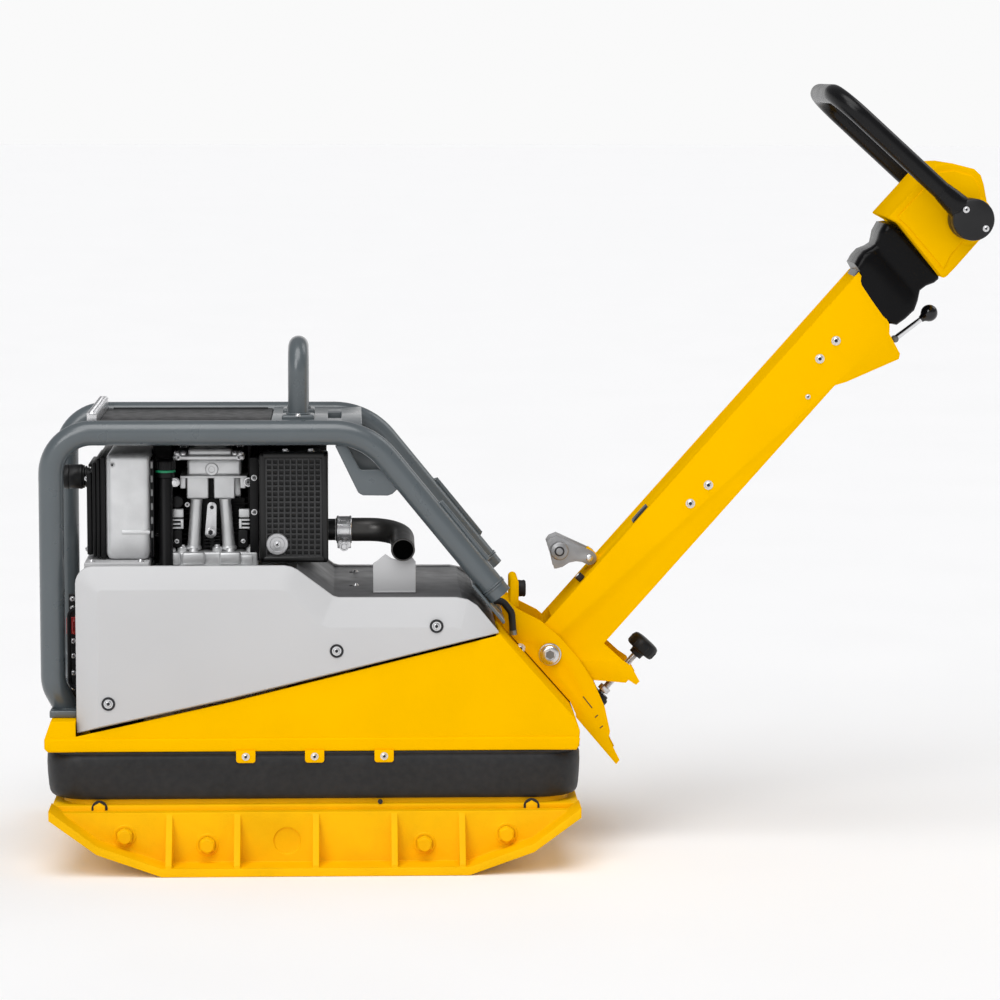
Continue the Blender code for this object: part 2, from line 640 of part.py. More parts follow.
def muffler():
    can = block("muffler", (-0.088, -0.085, 0.5300), (0.0120, 0.085, 0.6950), BLACK, bevel=0.018)
    stub = rod("muffler_stub", (0.005, -0.035, 0.558), (0.0340, -0.035, 0.558), 0.019, cutter=True)
    bore = rod("muffler_bore", (-0.020, -0.035, 0.558), (0.0500, -0.035, 0.558), 0.0165, cutter=True)
    cut(weld_on(can, stub), bore)
    shell = block("muffler_guard", (-0.0970, -0.125, 0.5116), (0.0218, -0.088, 0.7037), BLACK)
    inside = block("guard_inside", (-0.0950, -0.123, 0.5136), (0.0198, -0.060, 0.7017), cutter=True)
    cut(shell, inside)
    cut(shell, block("guard_window", (-0.0830, -0.140, 0.5260), (0.0040, -0.110, 0.6860), cutter=True))
    weld_on(shell, block("guard_mesh", (-0.0840, -0.1246, 0.5250), (0.0050, -0.1234, 0.6870),
                         cutter=True))
    return can, shell


def exhaust():
    start = (0.0343, -0.035, 0.558)
    path = bent([start, (0.150, -0.035, 0.558), (0.1500, -0.158, 0.5380)], 0.045, 8)
    tube = pipe("exhaust_pipe", path, 0.0205, STEEL)
    first, last = Vector(path[0]), Vector(path[-1])
    stretched = [first - Vector((0.01, 0, 0))] + path[1:-1] + [last + (last - path[-2]).normalized() * 0.01]
    cut(tube, pipe("exhaust_bore", stretched, 0.0180, cutter=True))
    ring = [(0.0290, 0.0095), (0.0290, -0.0095), (0.0208, -0.0095), (0.0208, 0.0095)]
    turned("exhaust_clamp", ring, (0.0490, -0.035, 0.558), (1, 0, 0), STEEL, steps=32, ring=True)
    outline = [(0.0985, 0.5150), (0.1150, 0.5165), (0.1300, 0.5165), (0.1700, 0.5130),
               (0.1720, 0.4660), (0.0990, 0.4660)]
    plate = flat("exhaust_bracket", outline, -0.140, 0.004, GREY)
    foot = block("bracket_foot", (0.0990, -0.142, 0.4608), (0.1720, -0.105, 0.4650), cutter=True)
    return weld_on(plate, foot, block("bracket_lip", (0.0990, -0.142, 0.4630), (0.1720, -0.138, 0.470),
                                      cutter=True))


def supplies():
    """Fuel tank under the rear deck, and the starter battery in front."""
    tank = block("fuel_tank", (0.060, -0.150, FLOOR_Z + FLOOR_T + GAP), (0.235, 0.150, 0.420), BLACK,
                 bevel=0.015)
    neck = rod("tank_neck", (0.150, 0.0, 0.40), (0.150, 0.0, 0.445), 0.028, cutter=True)
    weld_on(tank, neck)
    battery = block("battery", (-0.391, -0.125, FLOOR_Z + FLOOR_T + GAP), (-0.304, 0.125, 0.440), BLACK,
                    bevel=0.004)
    return tank, battery


def isolator():
    x, y, z = -0.391 - GAP, -0.100, 0.400
    knob = rod("isolator_knob", (x, y, z), (x - 0.030, y, z), 0.0145, RED, segments=24)
    key = block("isolator_key", (x - 0.040, y - 0.004, z - 0.013), (x - 0.026, y + 0.004, z + 0.013),
                cutter=True)
    return weld_on(knob, key)


# ---- drawbar console -------------------------------------------------------
def console():
    """Two cheeks on the tray's sloping back, with the stop screw's pad."""
    lean = 0.0006
    edge = [(0.3262, 0.3915), (0.3262, 0.4330), (0.3312, 0.4375), (0.3450, 0.4262),
            (0.3512, 0.4211), (0.3917, 0.4003), (0.4260, 0.3708),
            (0.4579, 0.3341), (0.4848, 0.2924), (0.5045, 0.2483), (0.5143, 0.2041),
            (0.5118, 0.1919), (0.5314, 0.1527), (0.5253, 0.1453)]
    back = [(0.4545, 0.2290), (0.4542, 0.2345), (0.4430 + lean, 0.2575), (0.3439, 0.3705)]
    mid = CONSOLE_Y + CONSOLE_T / 2
    body = flat("drawbar_console", edge + back, -mid, CONSOLE_T, YELLOW)
    weld_on(body, flat("far_cheek", edge + back, mid, CONSOLE_T, cutter=True))
    slab = [(0.3439, 0.3705), (0.3439, 0.3795), (0.4485, 0.2610), (0.4605, 0.2400),
            (0.4545, 0.2345), (0.4436, 0.2575)]
    weld_on(body, flat("console_back", slab, 0, 2 * CONSOLE_Y + 0.004, cutter=True))
    pad = bar_outline([(-0.0285, -0.100), (-0.0206, -0.100), (-0.0206, -0.150), (-0.0285, -0.150)])
    weld_on(body, flat("console_pad", pad, 0, 2 * CONSOLE_Y + 0.004, cutter=True))
    px, pz = PIVOT
    cut(body, rod("pivot_bore", (px, -0.1, pz), (px, 0.1, pz), 0.0125, cutter=True))
    return body


def pivot_bolt():
    px, pz = PIVOT
    out = CONSOLE_Y + CONSOLE_T + GAP
    shank = rod("pivot_bolt", (px, -out - 0.011, pz), (px, out + 0.011, pz), 0.0120, STEEL)
    for side in (-1, 1):
        head = rod("bolt_head", (px, side * out, pz), (px, side * (out + 0.010), pz), 0.0180,
                   cutter=True, segments=6)
        weld_on(shank, head)
    return shank


def parking():
    """Upright plate with a rounded top that the transport latch hooks over."""
    front, back, top = 0.3393, 0.3542, 0.4715
    round_r = (back - front) / 2
    foot = 0.4213 + GAP
    side = [(front, 0.4290), (front, top - round_r)] + arc(front + round_r, top - round_r, round_r,
                                                            180, 0, 10)[1:-1]
    side += [(back, top - round_r), (back, foot), (0.3230, foot), (0.3230, 0.4290)]
    return flat("parking_plate", side, 0, 2 * 0.048, YELLOW)


def park_bumper():
    """Rubber stop that the raised drawbar leans on."""
    profile = [(0, 0.007), (0.0125, 0.007), (0.0150, 0.004), (0.0150, -0.007), (0, -0.007)]
    return turned("park_bumper", profile, (0.3542 + GAP + 0.007, 0.0, 0.4480), (1, 0, 0), RUBBER,
                  steps=24)


# ---- drawbar ---------------------------------------------------------------
def drawbar_beam():
    side = arc(0, 0, 0.0205, 250, 105, 8) + [
            (0.032, BEAM_TOP), (BEAM_END, BEAM_TOP), (0.8234, BEAM_LOW), (0.8106, -0.0713), (0.7976, -0.1081),
            (0.7892, -0.1130), (0.6990, -0.0712), (0.6808, BEAM_LOW), (0.0760, BEAM_LOW),
            (0.0752, -0.1059), (0.0776, -0.1234), (0.0671, -0.1524), (0.0585, -0.1518),
            (0.0560, -0.1360), (0.0490, -0.1356), (0.0346, -0.1156), (0.0153, -0.0900)]
    wall, mid = 0.006, BEAM_HALF_Y - 0.003
    beam = flat("drawbar_beam", bar_outline(side), -mid, wall, YELLOW)
    weld_on(beam, flat("far_side", bar_outline(side), mid, wall, cutter=True))
    frame = bar_frame()
    wide = BEAM_HALF_Y - 0.002
    inset = 0.0007
    sheets = [("top_sheet", (0.050, -wide, BEAM_TOP - 0.006), (0.848, wide, BEAM_TOP - inset)),
              ("low_sheet", (0.080, -wide, BEAM_LOW + inset), (0.696, wide, BEAM_LOW + 0.006)),
              ("cross_sheet", (0.057, -wide, -0.148), (0.067, wide, -0.066)),
              ("latch_lug", (0.158, -0.016, 0.037), (0.182, 0.016, 0.066))]
    for name, low, high in sheets:
        weld_on(beam, block(name, low, high, cutter=True, frame=frame))
    hopper = bar_outline([(0.692, -0.0555), (0.690, -0.0650), (0.7885, -0.1105), (0.7955, -0.1060),
                          (0.7990, -0.0990), (0.7920, -0.1010), (0.7050, -0.0590)])
    weld_on(beam, flat("hopper_sheet", hopper, 0, 2 * wide, cutter=True))
    px, pz = PIVOT
    cut(beam, rod("hinge_bore", (px, -0.1, pz), (px, 0.1, pz), 0.0125, cutter=True))
    cut(beam, rod("screw_bore", on_bar(0.03, SCREW_W), on_bar(0.09, SCREW_W), 0.0066, cutter=True))
    cut(beam, rod("latch_bore", on_bar(*LATCH, -0.03), on_bar(*LATCH, 0.03), 0.0056, cutter=True))
    return beam


def stop_screw():
    u0, w = 0.0035, SCREW_W
    shank = rod("stop_screw", on_bar(u0, w), on_bar(0.098, w), 0.0060, STEEL, segments=24)
    knob = [(0, 0.018), (0.012, 0.0175), (0.021, 0.014), (0.0265, 0.008), (0.0275, 0.002),
            (0.0260, -0.003), (0.0150, -0.007), (0.0120, -0.017), (0, -0.017)]
    axis = (math.cos(DRAWBAR_TILT), 0, math.sin(DRAWBAR_TILT))
    weld_on(shank, turned("stop_knob", knob, on_bar(0.110, w), axis, cutter=True, steps=28))
    nut = rod("stop_nut", on_bar(u0 + 0.003, w), on_bar(u0 + 0.013, w), 0.0110, cutter=True, segments=6)
    weld_on(shank, nut)
    rod("stop_foot", on_bar(-0.0203, w), on_bar(u0 - GAP, w), 0.0200, RUBBER, segments=28)
    return shank


def transport_latch():
    """Gravity hook with a grip bar: it holds the raised drawbar upright."""
    u, w = LATCH
    round_end = [(u + 0.0125 * math.cos(a), w + 0.0125 * math.sin(a))
                 for a in [math.radians(-150 + i * 24) for i in range(8)]]
    hook = round_end + [(0.1680, 0.1046), (0.1623, 0.1240), (0.1500, 0.1300), (0.1407, 0.1290),
                        (0.1269, 0.1060), (0.1150, 0.0892), (0.1170, 0.0866), (0.1270, 0.0800),
                        (0.1400, 0.0765), (0.1500, 0.0690), (0.1560, 0.0600)]
    latch = flat("transport_latch", bar_outline(hook), -0.0225, 0.009, STEEL)
    weld_on(latch, flat("far_hook", bar_outline(hook), 0.0225, 0.009, cutter=True))
    weld_on(latch, rod("latch_grip", on_bar(0.1447, 0.1040, -0.038), on_bar(0.1447, 0.1040, 0.038),
                       0.0150, cutter=True))
    weld_on(latch, rod("latch_pin", on_bar(u, w, -0.0285), on_bar(u, w, 0.0285), 0.0052, cutter=True,
                       segments=24))
    return latch


def head_boot():
    side = [(0.8600, 0.0560), (0.8870, 0.0600), (0.9106, 0.0505), (0.9274, 0.0603),
            (0.9500, 0.0640), (0.9595, 0.0489), (0.9395, -0.0700), (0.9326, -0.0740),
            (0.9038, -0.0619), (0.8814, -0.0766), (0.8678, -0.0785), (0.8300, -0.0721),
            (0.8247, -0.0620), (0.8563, 0.0400)]
    boot = flat("head_boot", bar_outline(side), 0, 2 * 0.0625, RUBBER)
    soften(boot, 0.004, 1)
    return boot


def control_head():
    outline = [(0.9870, 1.1055), (1.0674, 1.1944), (1.0800, 1.1975), (1.0976, 1.1982),
               (1.1354, 1.1887), (1.1470, 1.1780), (1.1523, 1.1623), (1.1580, 1.1340),
               (1.1540, 1.0950), (1.1467, 1.0660), (1.1052, 1.0188), (1.0893, 1.0020),
               (1.0830, 1.0010), (1.0075, 1.0945)]
    head = flat("control_head", outline, 0, 2 * 0.100, YELLOW)
    soften(head, 0.010, 2)
    hx, hz = HUB
    cut(head, rod("hub_bore", (hx, -0.2, hz), (hx, 0.2, hz), 0.0160, cutter=True))
    return head


def handle_bow():
    hx, hz = HUB
    c, s = math.cos(BOW_TILT), math.sin(BOW_TILT)
    far = (hx + BOW_LENGTH * c, hz + BOW_LENGTH * s)
    path = bent([(hx, -BOW_Y, hz), (far[0], -BOW_Y, far[1]), (far[0], BOW_Y, far[1]),
                 (hx, BOW_Y, hz)], 0.060, 7)
    bow = pipe("handle_bow", path, BOW_R, BLACK)
    for side in (-1, 1):
        disc = rod("bow_hub", (hx, side * 0.1008, hz), (hx, side * 0.1300, hz), 0.0360, cutter=True,
                   segments=36)
        boss = rod("bow_boss", (hx, side * 0.1200, hz), (hx, side * 0.1615, hz), 0.0215, cutter=True)
        weld_on(bow, disc, boss)
    weld_on(bow, rod("bow_axle", (hx, -0.12, hz), (hx, 0.12, hz), 0.0155, cutter=True))
    return bow


def throttle_lever():
    """Ball lever on an upright pin at the drawbar's flared end."""
    base = on_bar(0.8130, -0.0935)
    tip = (1.0769, 0.0, 0.9338)
    lever = rod("throttle_lever", base, tip, 0.0040, STEEL, segments=16)
    bm = bmesh.new()
    bmesh.ops.create_uvsphere(bm, u_segments=20, v_segments=12, radius=0.0150)
    bmesh.ops.translate(bm, vec=tip, verts=bm.verts)
    ball = bpy.data.meshes.new("throttle_ball")
    bm.to_mesh(ball)
    bm.free()
    weld_on(lever, add("throttle_ball", ball, cutter=True))
    c, s = math.cos(DRAWBAR_TILT), math.sin(DRAWBAR_TILT)
    low = Vector(base) - Vector((-s, 0, c)) * 0.011
    high = Vector(base) + Vector((-s, 0, c)) * 0.011
    return weld_on(lever, rod("throttle_hub", low, high, 0.0090, cutter=True, segments=24))


def control_hose():
    """Hydraulic hose from the rear hood down into the tray's sloping back."""
    route = bent([(0.2985, -0.088, 0.4300), (0.3170, -0.088, 0.4480), (0.3400, -0.088, 0.4180),
                  (0.3430, -0.088, 0.3790)], 0.018, 5)
    return pipe("control_hose", route, 0.0060, RUBBER, resolution=2)


def build():
    base_plate()
    extension_plate()
    exciter()
    buffers()
    upper_frame()
    rubber_skirt()
    side_cover()
    rear_hood()
    frame_tube()
    frame_rear_plate()
    top_panel()
    lifting_bridge()
    engine_block()
    crankshaft()
    drive_belt()
    cylinder()
    cylinder_head()
    pushrod_tubes()
    air_path()
    oil_filler()
    stop_lever()
    muffler()
    exhaust()
    supplies()
    isolator()
    console()
    pivot_bolt()
    parking()
    park_bumper()
    drawbar_beam()
    stop_screw()
    transport_latch()
    head_boot()
    control_head()
    handle_bow()
    throttle_lever()
    control_hose()


build()
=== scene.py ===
"""Looks of the plate compactor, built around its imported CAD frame. Metres, +Z up.

Every mesh is made in the frame's own coordinates, so a piece's object sits at the
origin. Left is -Y, the side that the camera sees; +X is the drawbar's end.
"""

import json
import math

import bmesh
import bpy
from mathutils import Matrix, Vector

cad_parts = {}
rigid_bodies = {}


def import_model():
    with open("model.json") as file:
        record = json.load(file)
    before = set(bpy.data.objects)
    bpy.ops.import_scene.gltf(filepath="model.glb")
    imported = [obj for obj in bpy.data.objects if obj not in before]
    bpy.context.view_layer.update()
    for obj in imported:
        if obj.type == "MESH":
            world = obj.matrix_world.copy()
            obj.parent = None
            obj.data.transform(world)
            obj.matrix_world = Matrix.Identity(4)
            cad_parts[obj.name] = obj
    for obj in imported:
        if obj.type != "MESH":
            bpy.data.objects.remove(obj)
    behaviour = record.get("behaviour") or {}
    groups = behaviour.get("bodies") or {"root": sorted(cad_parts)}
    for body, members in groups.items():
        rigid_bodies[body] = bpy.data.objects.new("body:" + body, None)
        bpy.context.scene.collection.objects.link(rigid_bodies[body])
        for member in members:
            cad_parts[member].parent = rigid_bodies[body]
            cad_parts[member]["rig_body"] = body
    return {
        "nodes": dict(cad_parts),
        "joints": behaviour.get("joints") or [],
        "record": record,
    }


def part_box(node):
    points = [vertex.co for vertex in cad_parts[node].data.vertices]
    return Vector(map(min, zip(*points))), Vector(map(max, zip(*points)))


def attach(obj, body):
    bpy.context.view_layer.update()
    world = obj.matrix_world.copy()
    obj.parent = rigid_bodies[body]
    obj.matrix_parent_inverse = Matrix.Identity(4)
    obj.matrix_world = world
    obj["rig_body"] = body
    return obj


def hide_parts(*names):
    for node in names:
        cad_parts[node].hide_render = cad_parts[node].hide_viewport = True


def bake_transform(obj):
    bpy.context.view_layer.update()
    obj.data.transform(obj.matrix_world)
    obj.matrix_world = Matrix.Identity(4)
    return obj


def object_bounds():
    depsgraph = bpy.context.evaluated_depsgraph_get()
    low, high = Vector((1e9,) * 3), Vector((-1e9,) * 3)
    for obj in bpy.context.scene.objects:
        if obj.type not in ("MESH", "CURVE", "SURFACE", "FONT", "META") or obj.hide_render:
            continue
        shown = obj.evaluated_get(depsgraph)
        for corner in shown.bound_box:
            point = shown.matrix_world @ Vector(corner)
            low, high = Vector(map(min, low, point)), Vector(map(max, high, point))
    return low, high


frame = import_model()
CAD_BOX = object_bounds()

JOINT = {joint["name"]: joint for joint in frame["joints"]}
SLOT = {part["node"]: part["material_slot"] for part in frame["record"]["subparts"]}
PIVOT = Vector(JOINT["drawbar_lift"]["pos_m"])
ALONG = Vector(JOINT["stop_foot_slide"]["axis"]).normalized()
ABOVE = Vector((-ALONG.z, 0.0, ALONG.x))
HUB = Vector(JOINT["bow_swing"]["pos_m"])
ACROSS = Vector((0.0, 1.0, 0.0))
SIDES = ((-1, "left"), (1, "right"))
PIPE_RADIUS = 0.0205


# ---- camera, light and floor -----------------------------------------------
def camera():
    """A long lens at about head height, square to the machine's left side."""
    data = bpy.data.cameras.new("camera")
    data.lens, data.sensor_width = 130.5, 36.0
    data.clip_start, data.clip_end = 0.1, 100.0
    obj = bpy.data.objects.new("camera", data)
    bpy.context.scene.collection.objects.link(obj)
    obj.location = (0.0599, -6.3275, 1.3568)
    yaw, pitch, roll = math.radians(2.381), math.radians(6.771), math.radians(0.129)
    turn = Matrix.Rotation(-yaw, 4, "Z") @ Matrix.Rotation(math.pi / 2 - pitch, 4, "X")
    obj.rotation_euler = (turn @ Matrix.Rotation(roll, 4, "Z")).to_euler()
    bpy.context.scene.camera = obj


def sun(name, heading, height, spread_deg, strength):
    """A soft, distant light; its heading is counted from +Y towards +X, in degrees."""
    data = bpy.data.lights.new(name, "SUN")
    data.energy, data.angle = strength, math.radians(spread_deg)
    obj = bpy.data.objects.new(name, data)
    bpy.context.scene.collection.objects.link(obj)
    a, b = math.radians(heading), math.radians(height)
    towards = Vector((math.sin(a) * math.cos(b), math.cos(a) * math.cos(b), math.sin(b)))
    obj.rotation_euler = towards.to_track_quat("Z", "Y").to_euler()


def studio():
    """A white horizon under a dimmer dome, with soft lights from above and in front."""
    world = bpy.data.worlds.new("studio")
    bpy.context.scene.world = world
    world.use_nodes = True
    tree = world.node_tree
    place = tree.nodes.new("ShaderNodeTexCoord").outputs["Generated"]
    split = tree.nodes.new("ShaderNodeSeparateXYZ")
    tree.links.new(place, split.inputs["Vector"])
    dome = tree.nodes.new("ShaderNodeValToRGB")
    stops = dome.color_ramp.elements
    stops[0].position, stops[0].color = 0.1, (0.955, 0.955, 0.955, 1.0)
    stops[1].position, stops[1].color = 0.34, (0.26, 0.26, 0.27, 1.0)
    tree.links.new(split.outputs["Z"], dome.inputs["Fac"])
    tree.links.new(dome.outputs["Color"], tree.nodes["Background"].inputs["Color"])
    tree.nodes["Background"].inputs["Strength"].default_value = 1.0
    sun("top_light", 188, 67, 46, 1.68)
    sun("front_light", 208, 32, 30, 0.86)
    sun("back_light", 60, 40, 30, 0.35)
    bpy.context.scene.view_settings.view_transform = "Standard"


def floor():
    """A round, pale floor just under the machine."""
    bm = bmesh.new()
    bmesh.ops.create_circle(bm, cap_ends=True, segments=96, radius=60.0)
    mesh = bpy.data.meshes.new("floor")
    bm.to_mesh(mesh)
    bm.free()
    obj = bpy.data.objects.new("floor", mesh)
    bpy.context.scene.collection.objects.link(obj)
    obj.location = (0, 0, CAD_BOX[0].z - 0.0005)
    mesh.materials.append(studio_floor())


# ---- materials -------------------------------------------------------------
def node_material(name):
    mat = bpy.data.materials.new(name)
    mat.use_nodes = True
    return mat, mat.node_tree, mat.node_tree.nodes["Principled BSDF"]


def noise(tree, scale, detail=3.0, stretch=None):
    """Noise in the frame's own metres, drawn out along an axis if asked."""
    place = tree.nodes.new("ShaderNodeTexCoord").outputs["Object"]
    if stretch:
        mapping = tree.nodes.new("ShaderNodeMapping")
        mapping.inputs["Scale"].default_value = stretch
        tree.links.new(place, mapping.inputs["Vector"])
        place = mapping.outputs["Vector"]
    tex = tree.nodes.new("ShaderNodeTexNoise")
    tex.inputs["Scale"].default_value = scale
    tex.inputs["Detail"].default_value = detail
    tree.links.new(place, tex.inputs["Vector"])
    return tex.outputs["Fac"]


def ramp(tree, value, low, high, start=0.35, end=0.65):
    """A colour between two, by where the value lies between start and end."""
    node = tree.nodes.new("ShaderNodeValToRGB")
    node.color_ramp.elements[0].position, node.color_ramp.elements[1].position = start, end
    node.color_ramp.elements[0].color = (*low, 1.0)
    node.color_ramp.elements[1].color = (*high, 1.0)
    tree.links.new(value, node.inputs["Fac"])
    return node.outputs["Color"]


def spread(tree, value, low, high):
    """Noise, which keeps near its middle, stretched from low to high."""
    node = tree.nodes.new("ShaderNodeMapRange")
    node.inputs["From Min"].default_value, node.inputs["From Max"].default_value = 0.3, 0.7
    node.inputs["To Min"].default_value, node.inputs["To Max"].default_value = low, high
    tree.links.new(value, node.inputs["Value"])
    return node.outputs["Result"]


def surface(name, color, roughness, metallic=0.0, vary=0.06, patch=9.0, grain=700.0, depth=0.00006,
            stretch=None, coat=0.0, dirt=None, shine=0.5):
    """Painted, moulded or cast stuff: patchy colour, uneven gloss and a fine grain."""
    mat, tree, shader = node_material(name)
    dark = [c * (1 - vary) for c in color]
    light = [min(1.0, c * (1 + vary * 0.6)) for c in color]
    shade = ramp(tree, noise(tree, patch, 4.0), dark, light)
    if dirt:
        mix = tree.nodes.new("ShaderNodeMix")
        mix.data_type = "RGBA"
        speck = spread(tree, noise(tree, patch * 7, 6.0), 0.0, 0.16)
        tree.links.new(speck, mix.inputs["Factor"])
        tree.links.new(shade, mix.inputs["A"])
        mix.inputs["B"].default_value = (*dirt, 1.0)
        shade = mix.outputs["Result"]
    tree.links.new(shade, shader.inputs["Base Color"])
    gloss = spread(tree, noise(tree, patch * 4, 3.0, stretch), roughness * 0.88, roughness * 1.14)
    tree.links.new(gloss, shader.inputs["Roughness"])
    shader.inputs["Metallic"].default_value = metallic
    shader.inputs["Specular IOR Level"].default_value = shine
    shader.inputs["Coat Weight"].default_value = coat
    shader.inputs["Coat Roughness"].default_value = 0.12
    bump = tree.nodes.new("ShaderNodeBump")
    bump.inputs["Strength"].default_value = 0.6
    bump.inputs["Distance"].default_value = depth
    tree.links.new(noise(tree, grain, 4.0, stretch), bump.inputs["Height"])
    tree.links.new(bump.outputs["Normal"], shader.inputs["Normal"])
    return mat


def studio_floor():
    return surface("floor_paint", (0.97, 0.97, 0.97), 0.9, vary=0.003, patch=0.6, grain=40, depth=0.0001)


YELLOW = (0.88, 0.47, 0.0)
MAT = {}


def slot_material(name, *looks, **more):
    """Makes the look of one of the record's material slots."""
    MAT[name] = surface(name, *looks, **more)


slot_material("yellow_cast", YELLOW, 0.5, vary=0.06, patch=14, grain=170, depth=0.0006, shine=0.08)
slot_material("yellow_paint", YELLOW, 0.45, vary=0.03, patch=6, grain=420, depth=0.0001, shine=0.0)
slot_material("yellow_plastic", YELLOW, 0.46, vary=0.03, patch=8, grain=1400, depth=0.00006, shine=0.0)
slot_material("cast_iron", (0.06, 0.06, 0.062), 0.62, 0.5, vary=0.2, grain=240, depth=0.0006)
slot_material("machined_steel", (0.62, 0.62, 0.63), 0.28, 1.0, vary=0.08, patch=20, grain=500,
              depth=0.00003, stretch=(1, 9, 1))
slot_material("buffer_rubber", (0.012, 0.012, 0.013), 0.62, vary=0.2, grain=500, depth=0.0001, shine=0.25)
slot_material("skirt_rubber", (0.016, 0.016, 0.017), 0.46, vary=0.14, patch=12, grain=900,
              depth=0.00007, dirt=(0.06, 0.058, 0.055), shine=0.24)
slot_material("light_grey_cover", (0.53, 0.53, 0.535), 0.46, vary=0.02, patch=5, grain=1200, depth=0.00007)
slot_material("dark_grey_sheet", (0.075, 0.075, 0.077), 0.42, vary=0.08, patch=7, grain=600,
              depth=0.0001, shine=0.35)
slot_material("frame_grey", (0.082, 0.098, 0.107), 0.3, vary=0.05, patch=8, grain=420, depth=0.00012,
              coat=0.25, shine=0.6)
slot_material("black_plastic", (0.006, 0.006, 0.0065), 0.4, vary=0.2, patch=14, grain=900,
              depth=0.0001, shine=0.22)
slot_material("cast_aluminium", (0.72, 0.725, 0.73), 0.44, 0.7, vary=0.09, patch=24, grain=330,
              depth=0.0003)
slot_material("black_heatproof", (0.006, 0.006, 0.006), 0.36, vary=0.25, patch=16, grain=380,
              depth=0.0002, shine=0.4)
slot_material("exhaust_steel", (0.07, 0.068, 0.066), 0.36, 0.8, vary=0.16, patch=16, grain=420,
              depth=0.00008)
slot_material("zinc_sheet", (0.6, 0.6, 0.61), 0.36, 0.9, vary=0.1, patch=30, grain=700, depth=0.00005)
slot_material("red_plastic", (0.46, 0.01, 0.01), 0.34, vary=0.06, grain=900, depth=0.00005)
slot_material("belt_rubber", (0.02, 0.02, 0.02), 0.7, vary=0.2, grain=800, depth=0.00015)
slot_material("boot_rubber", (0.004, 0.004, 0.0045), 0.24, vary=0.2, patch=12, grain=700, depth=0.00007,
              shine=0.05, coat=0.1)
slot_material("bow_grip", (0.004, 0.004, 0.0045), 0.27, vary=0.18, patch=12, grain=1100, depth=0.00008,
              shine=0.24)
slot_material("hose_rubber", (0.014, 0.014, 0.015), 0.5, vary=0.2, grain=900, depth=0.0001, shine=0.3)
BOLT = surface("bright_zinc", (0.74, 0.74, 0.75), 0.28, 0.9, vary=0.06, patch=60, grain=900, depth=0.00004)
# Dark rings, and painted shade on socket floors, slots, holes and bolt pockets.
DARK_RING_AND_RECESS_SHADE = surface("dark_ring_and_recess_shade", (0.02, 0.02, 0.022), 0.45, vary=0.15, patch=50, grain=900, depth=0.00005,
                    shine=0.3)
BLACK = MAT["black_plastic"]
GREEN = surface("seal_green", (0.01, 0.3, 0.13), 0.4, vary=0.1, patch=40, grain=900, depth=0.00005)
# Painted light: a lighter copy of the cover grey for the shoulders that face up and out.
COVER_SHOULDER_LIGHT = surface("cover_shoulder_painted_light", (0.74, 0.74, 0.745), 0.42, vary=0.02, patch=6, grain=1200, depth=0.00006)
FASCIA = surface("dark_fascia", (0.012, 0.012, 0.013), 0.42, vary=0.15, patch=20, grain=900, depth=0.00006,
                 shine=0.3)
CLAMP = surface("clamp_steel", (0.74, 0.74, 0.75), 0.24, 0.9, vary=0.08, patch=40, grain=600, depth=0.00004,
                stretch=(1, 1, 6))
LEVER_CHROME = surface("lever_chrome", (0.7, 0.7, 0.71), 0.16, 1.0, vary=0.05, patch=30, grain=500,
                       depth=0.00002)
BALL = surface("ball_black", (0.005, 0.005, 0.006), 0.12, vary=0.1, patch=30, grain=900, depth=0.00001)
# The bore's soot together with painted shade of its depth.
SOOT_AND_BORE_SHADE = surface("soot_and_bore_shade", (0.0012, 0.0012, 0.0012), 0.95, vary=0.3, patch=30, grain=300, depth=0.0002,
               shine=0.0)
# Painted highlight: a lighter black for the guard's grid bars, so that they read as lit lines.
GUARD_GRID_HIGHLIGHT = surface("guard_grid_painted_highlight", (0.03, 0.03, 0.031), 0.4, vary=0.2, patch=30, grain=500, depth=0.0001,
               shine=0.45)
GREY_ZINC = surface("grey_zinc", (0.33, 0.33, 0.335), 0.42, 0.75, vary=0.14, patch=40, grain=500,
                    depth=0.00006)
MATTE = surface("matte_black", (0.005, 0.005, 0.0055), 0.44, vary=0.15, patch=30, grain=700, depth=0.00005,
                shine=0.25)
STEEL_DARK = surface("dark_steel", (0.2, 0.2, 0.2), 0.36, 0.9, vary=0.15, patch=40, grain=500,
                     depth=0.00005)
# Painted shade: a near-black for the shade deep in the engine, used on fins, gaps and backing sheets.
PAINTED_ENGINE_SHADE = surface("engine_shadow", (0.006, 0.006, 0.006), 0.7, vary=0.3, patch=30, grain=300, depth=0.0003,
                 shine=0.2)


# ---- mesh tools ------------------------------------------------------------
def on_bar(along, above, y=0.0):
    """The point that far along and above the drawbar's axis from its hinge."""
    return PIVOT + ALONG * along + ABOVE * above + ACROSS * y


def arc(cx, cz, radius, start, end, steps=10):
    """Points of an arc about (cx, cz), from start to end in degrees."""
    turns = [math.radians(start + (end - start) * i / steps) for i in range(steps + 1)]
    return [(cx + radius * math.cos(a), cz + radius * math.sin(a)) for a in turns]


def bent(points, radius, steps=12):
    """A path with its inner corners rounded to arcs."""
    points = [Vector(p) for p in points]
    path = [points[0]]
    for before, corner, after in zip(points, points[1:], points[2:]):
        a, b = (before - corner).normalized(), (after - corner).normalized()
        half = a.angle(b) / 2
        reach = radius / math.tan(half)
        centre = corner + (a + b).normalized() * radius / math.sin(half)
        first, last = corner + a * reach - centre, corner + b * reach - centre
        sweep = first.angle(last)
        for i in range(steps + 1):
            t = i / steps
            blend = first * math.sin((1 - t) * sweep) + last * math.sin(t * sweep)
            path.append(centre + blend / math.sin(sweep))
    path.append(points[-1])
    return path


def round_edges(bm, width, segments, angle=25.0):
    """Bevels each edge that is sharper than the angle."""
    if not width:
        return
    limit = math.radians(angle)
    edges = [e for e in bm.edges if len(e.link_faces) == 2 and e.calc_face_angle(0) > limit]
    bmesh.ops.bevel(bm, geom=edges, offset=width, offset_type="OFFSET", segments=segments,
                    profile=0.5, affect="EDGES", clamp_overlap=True)


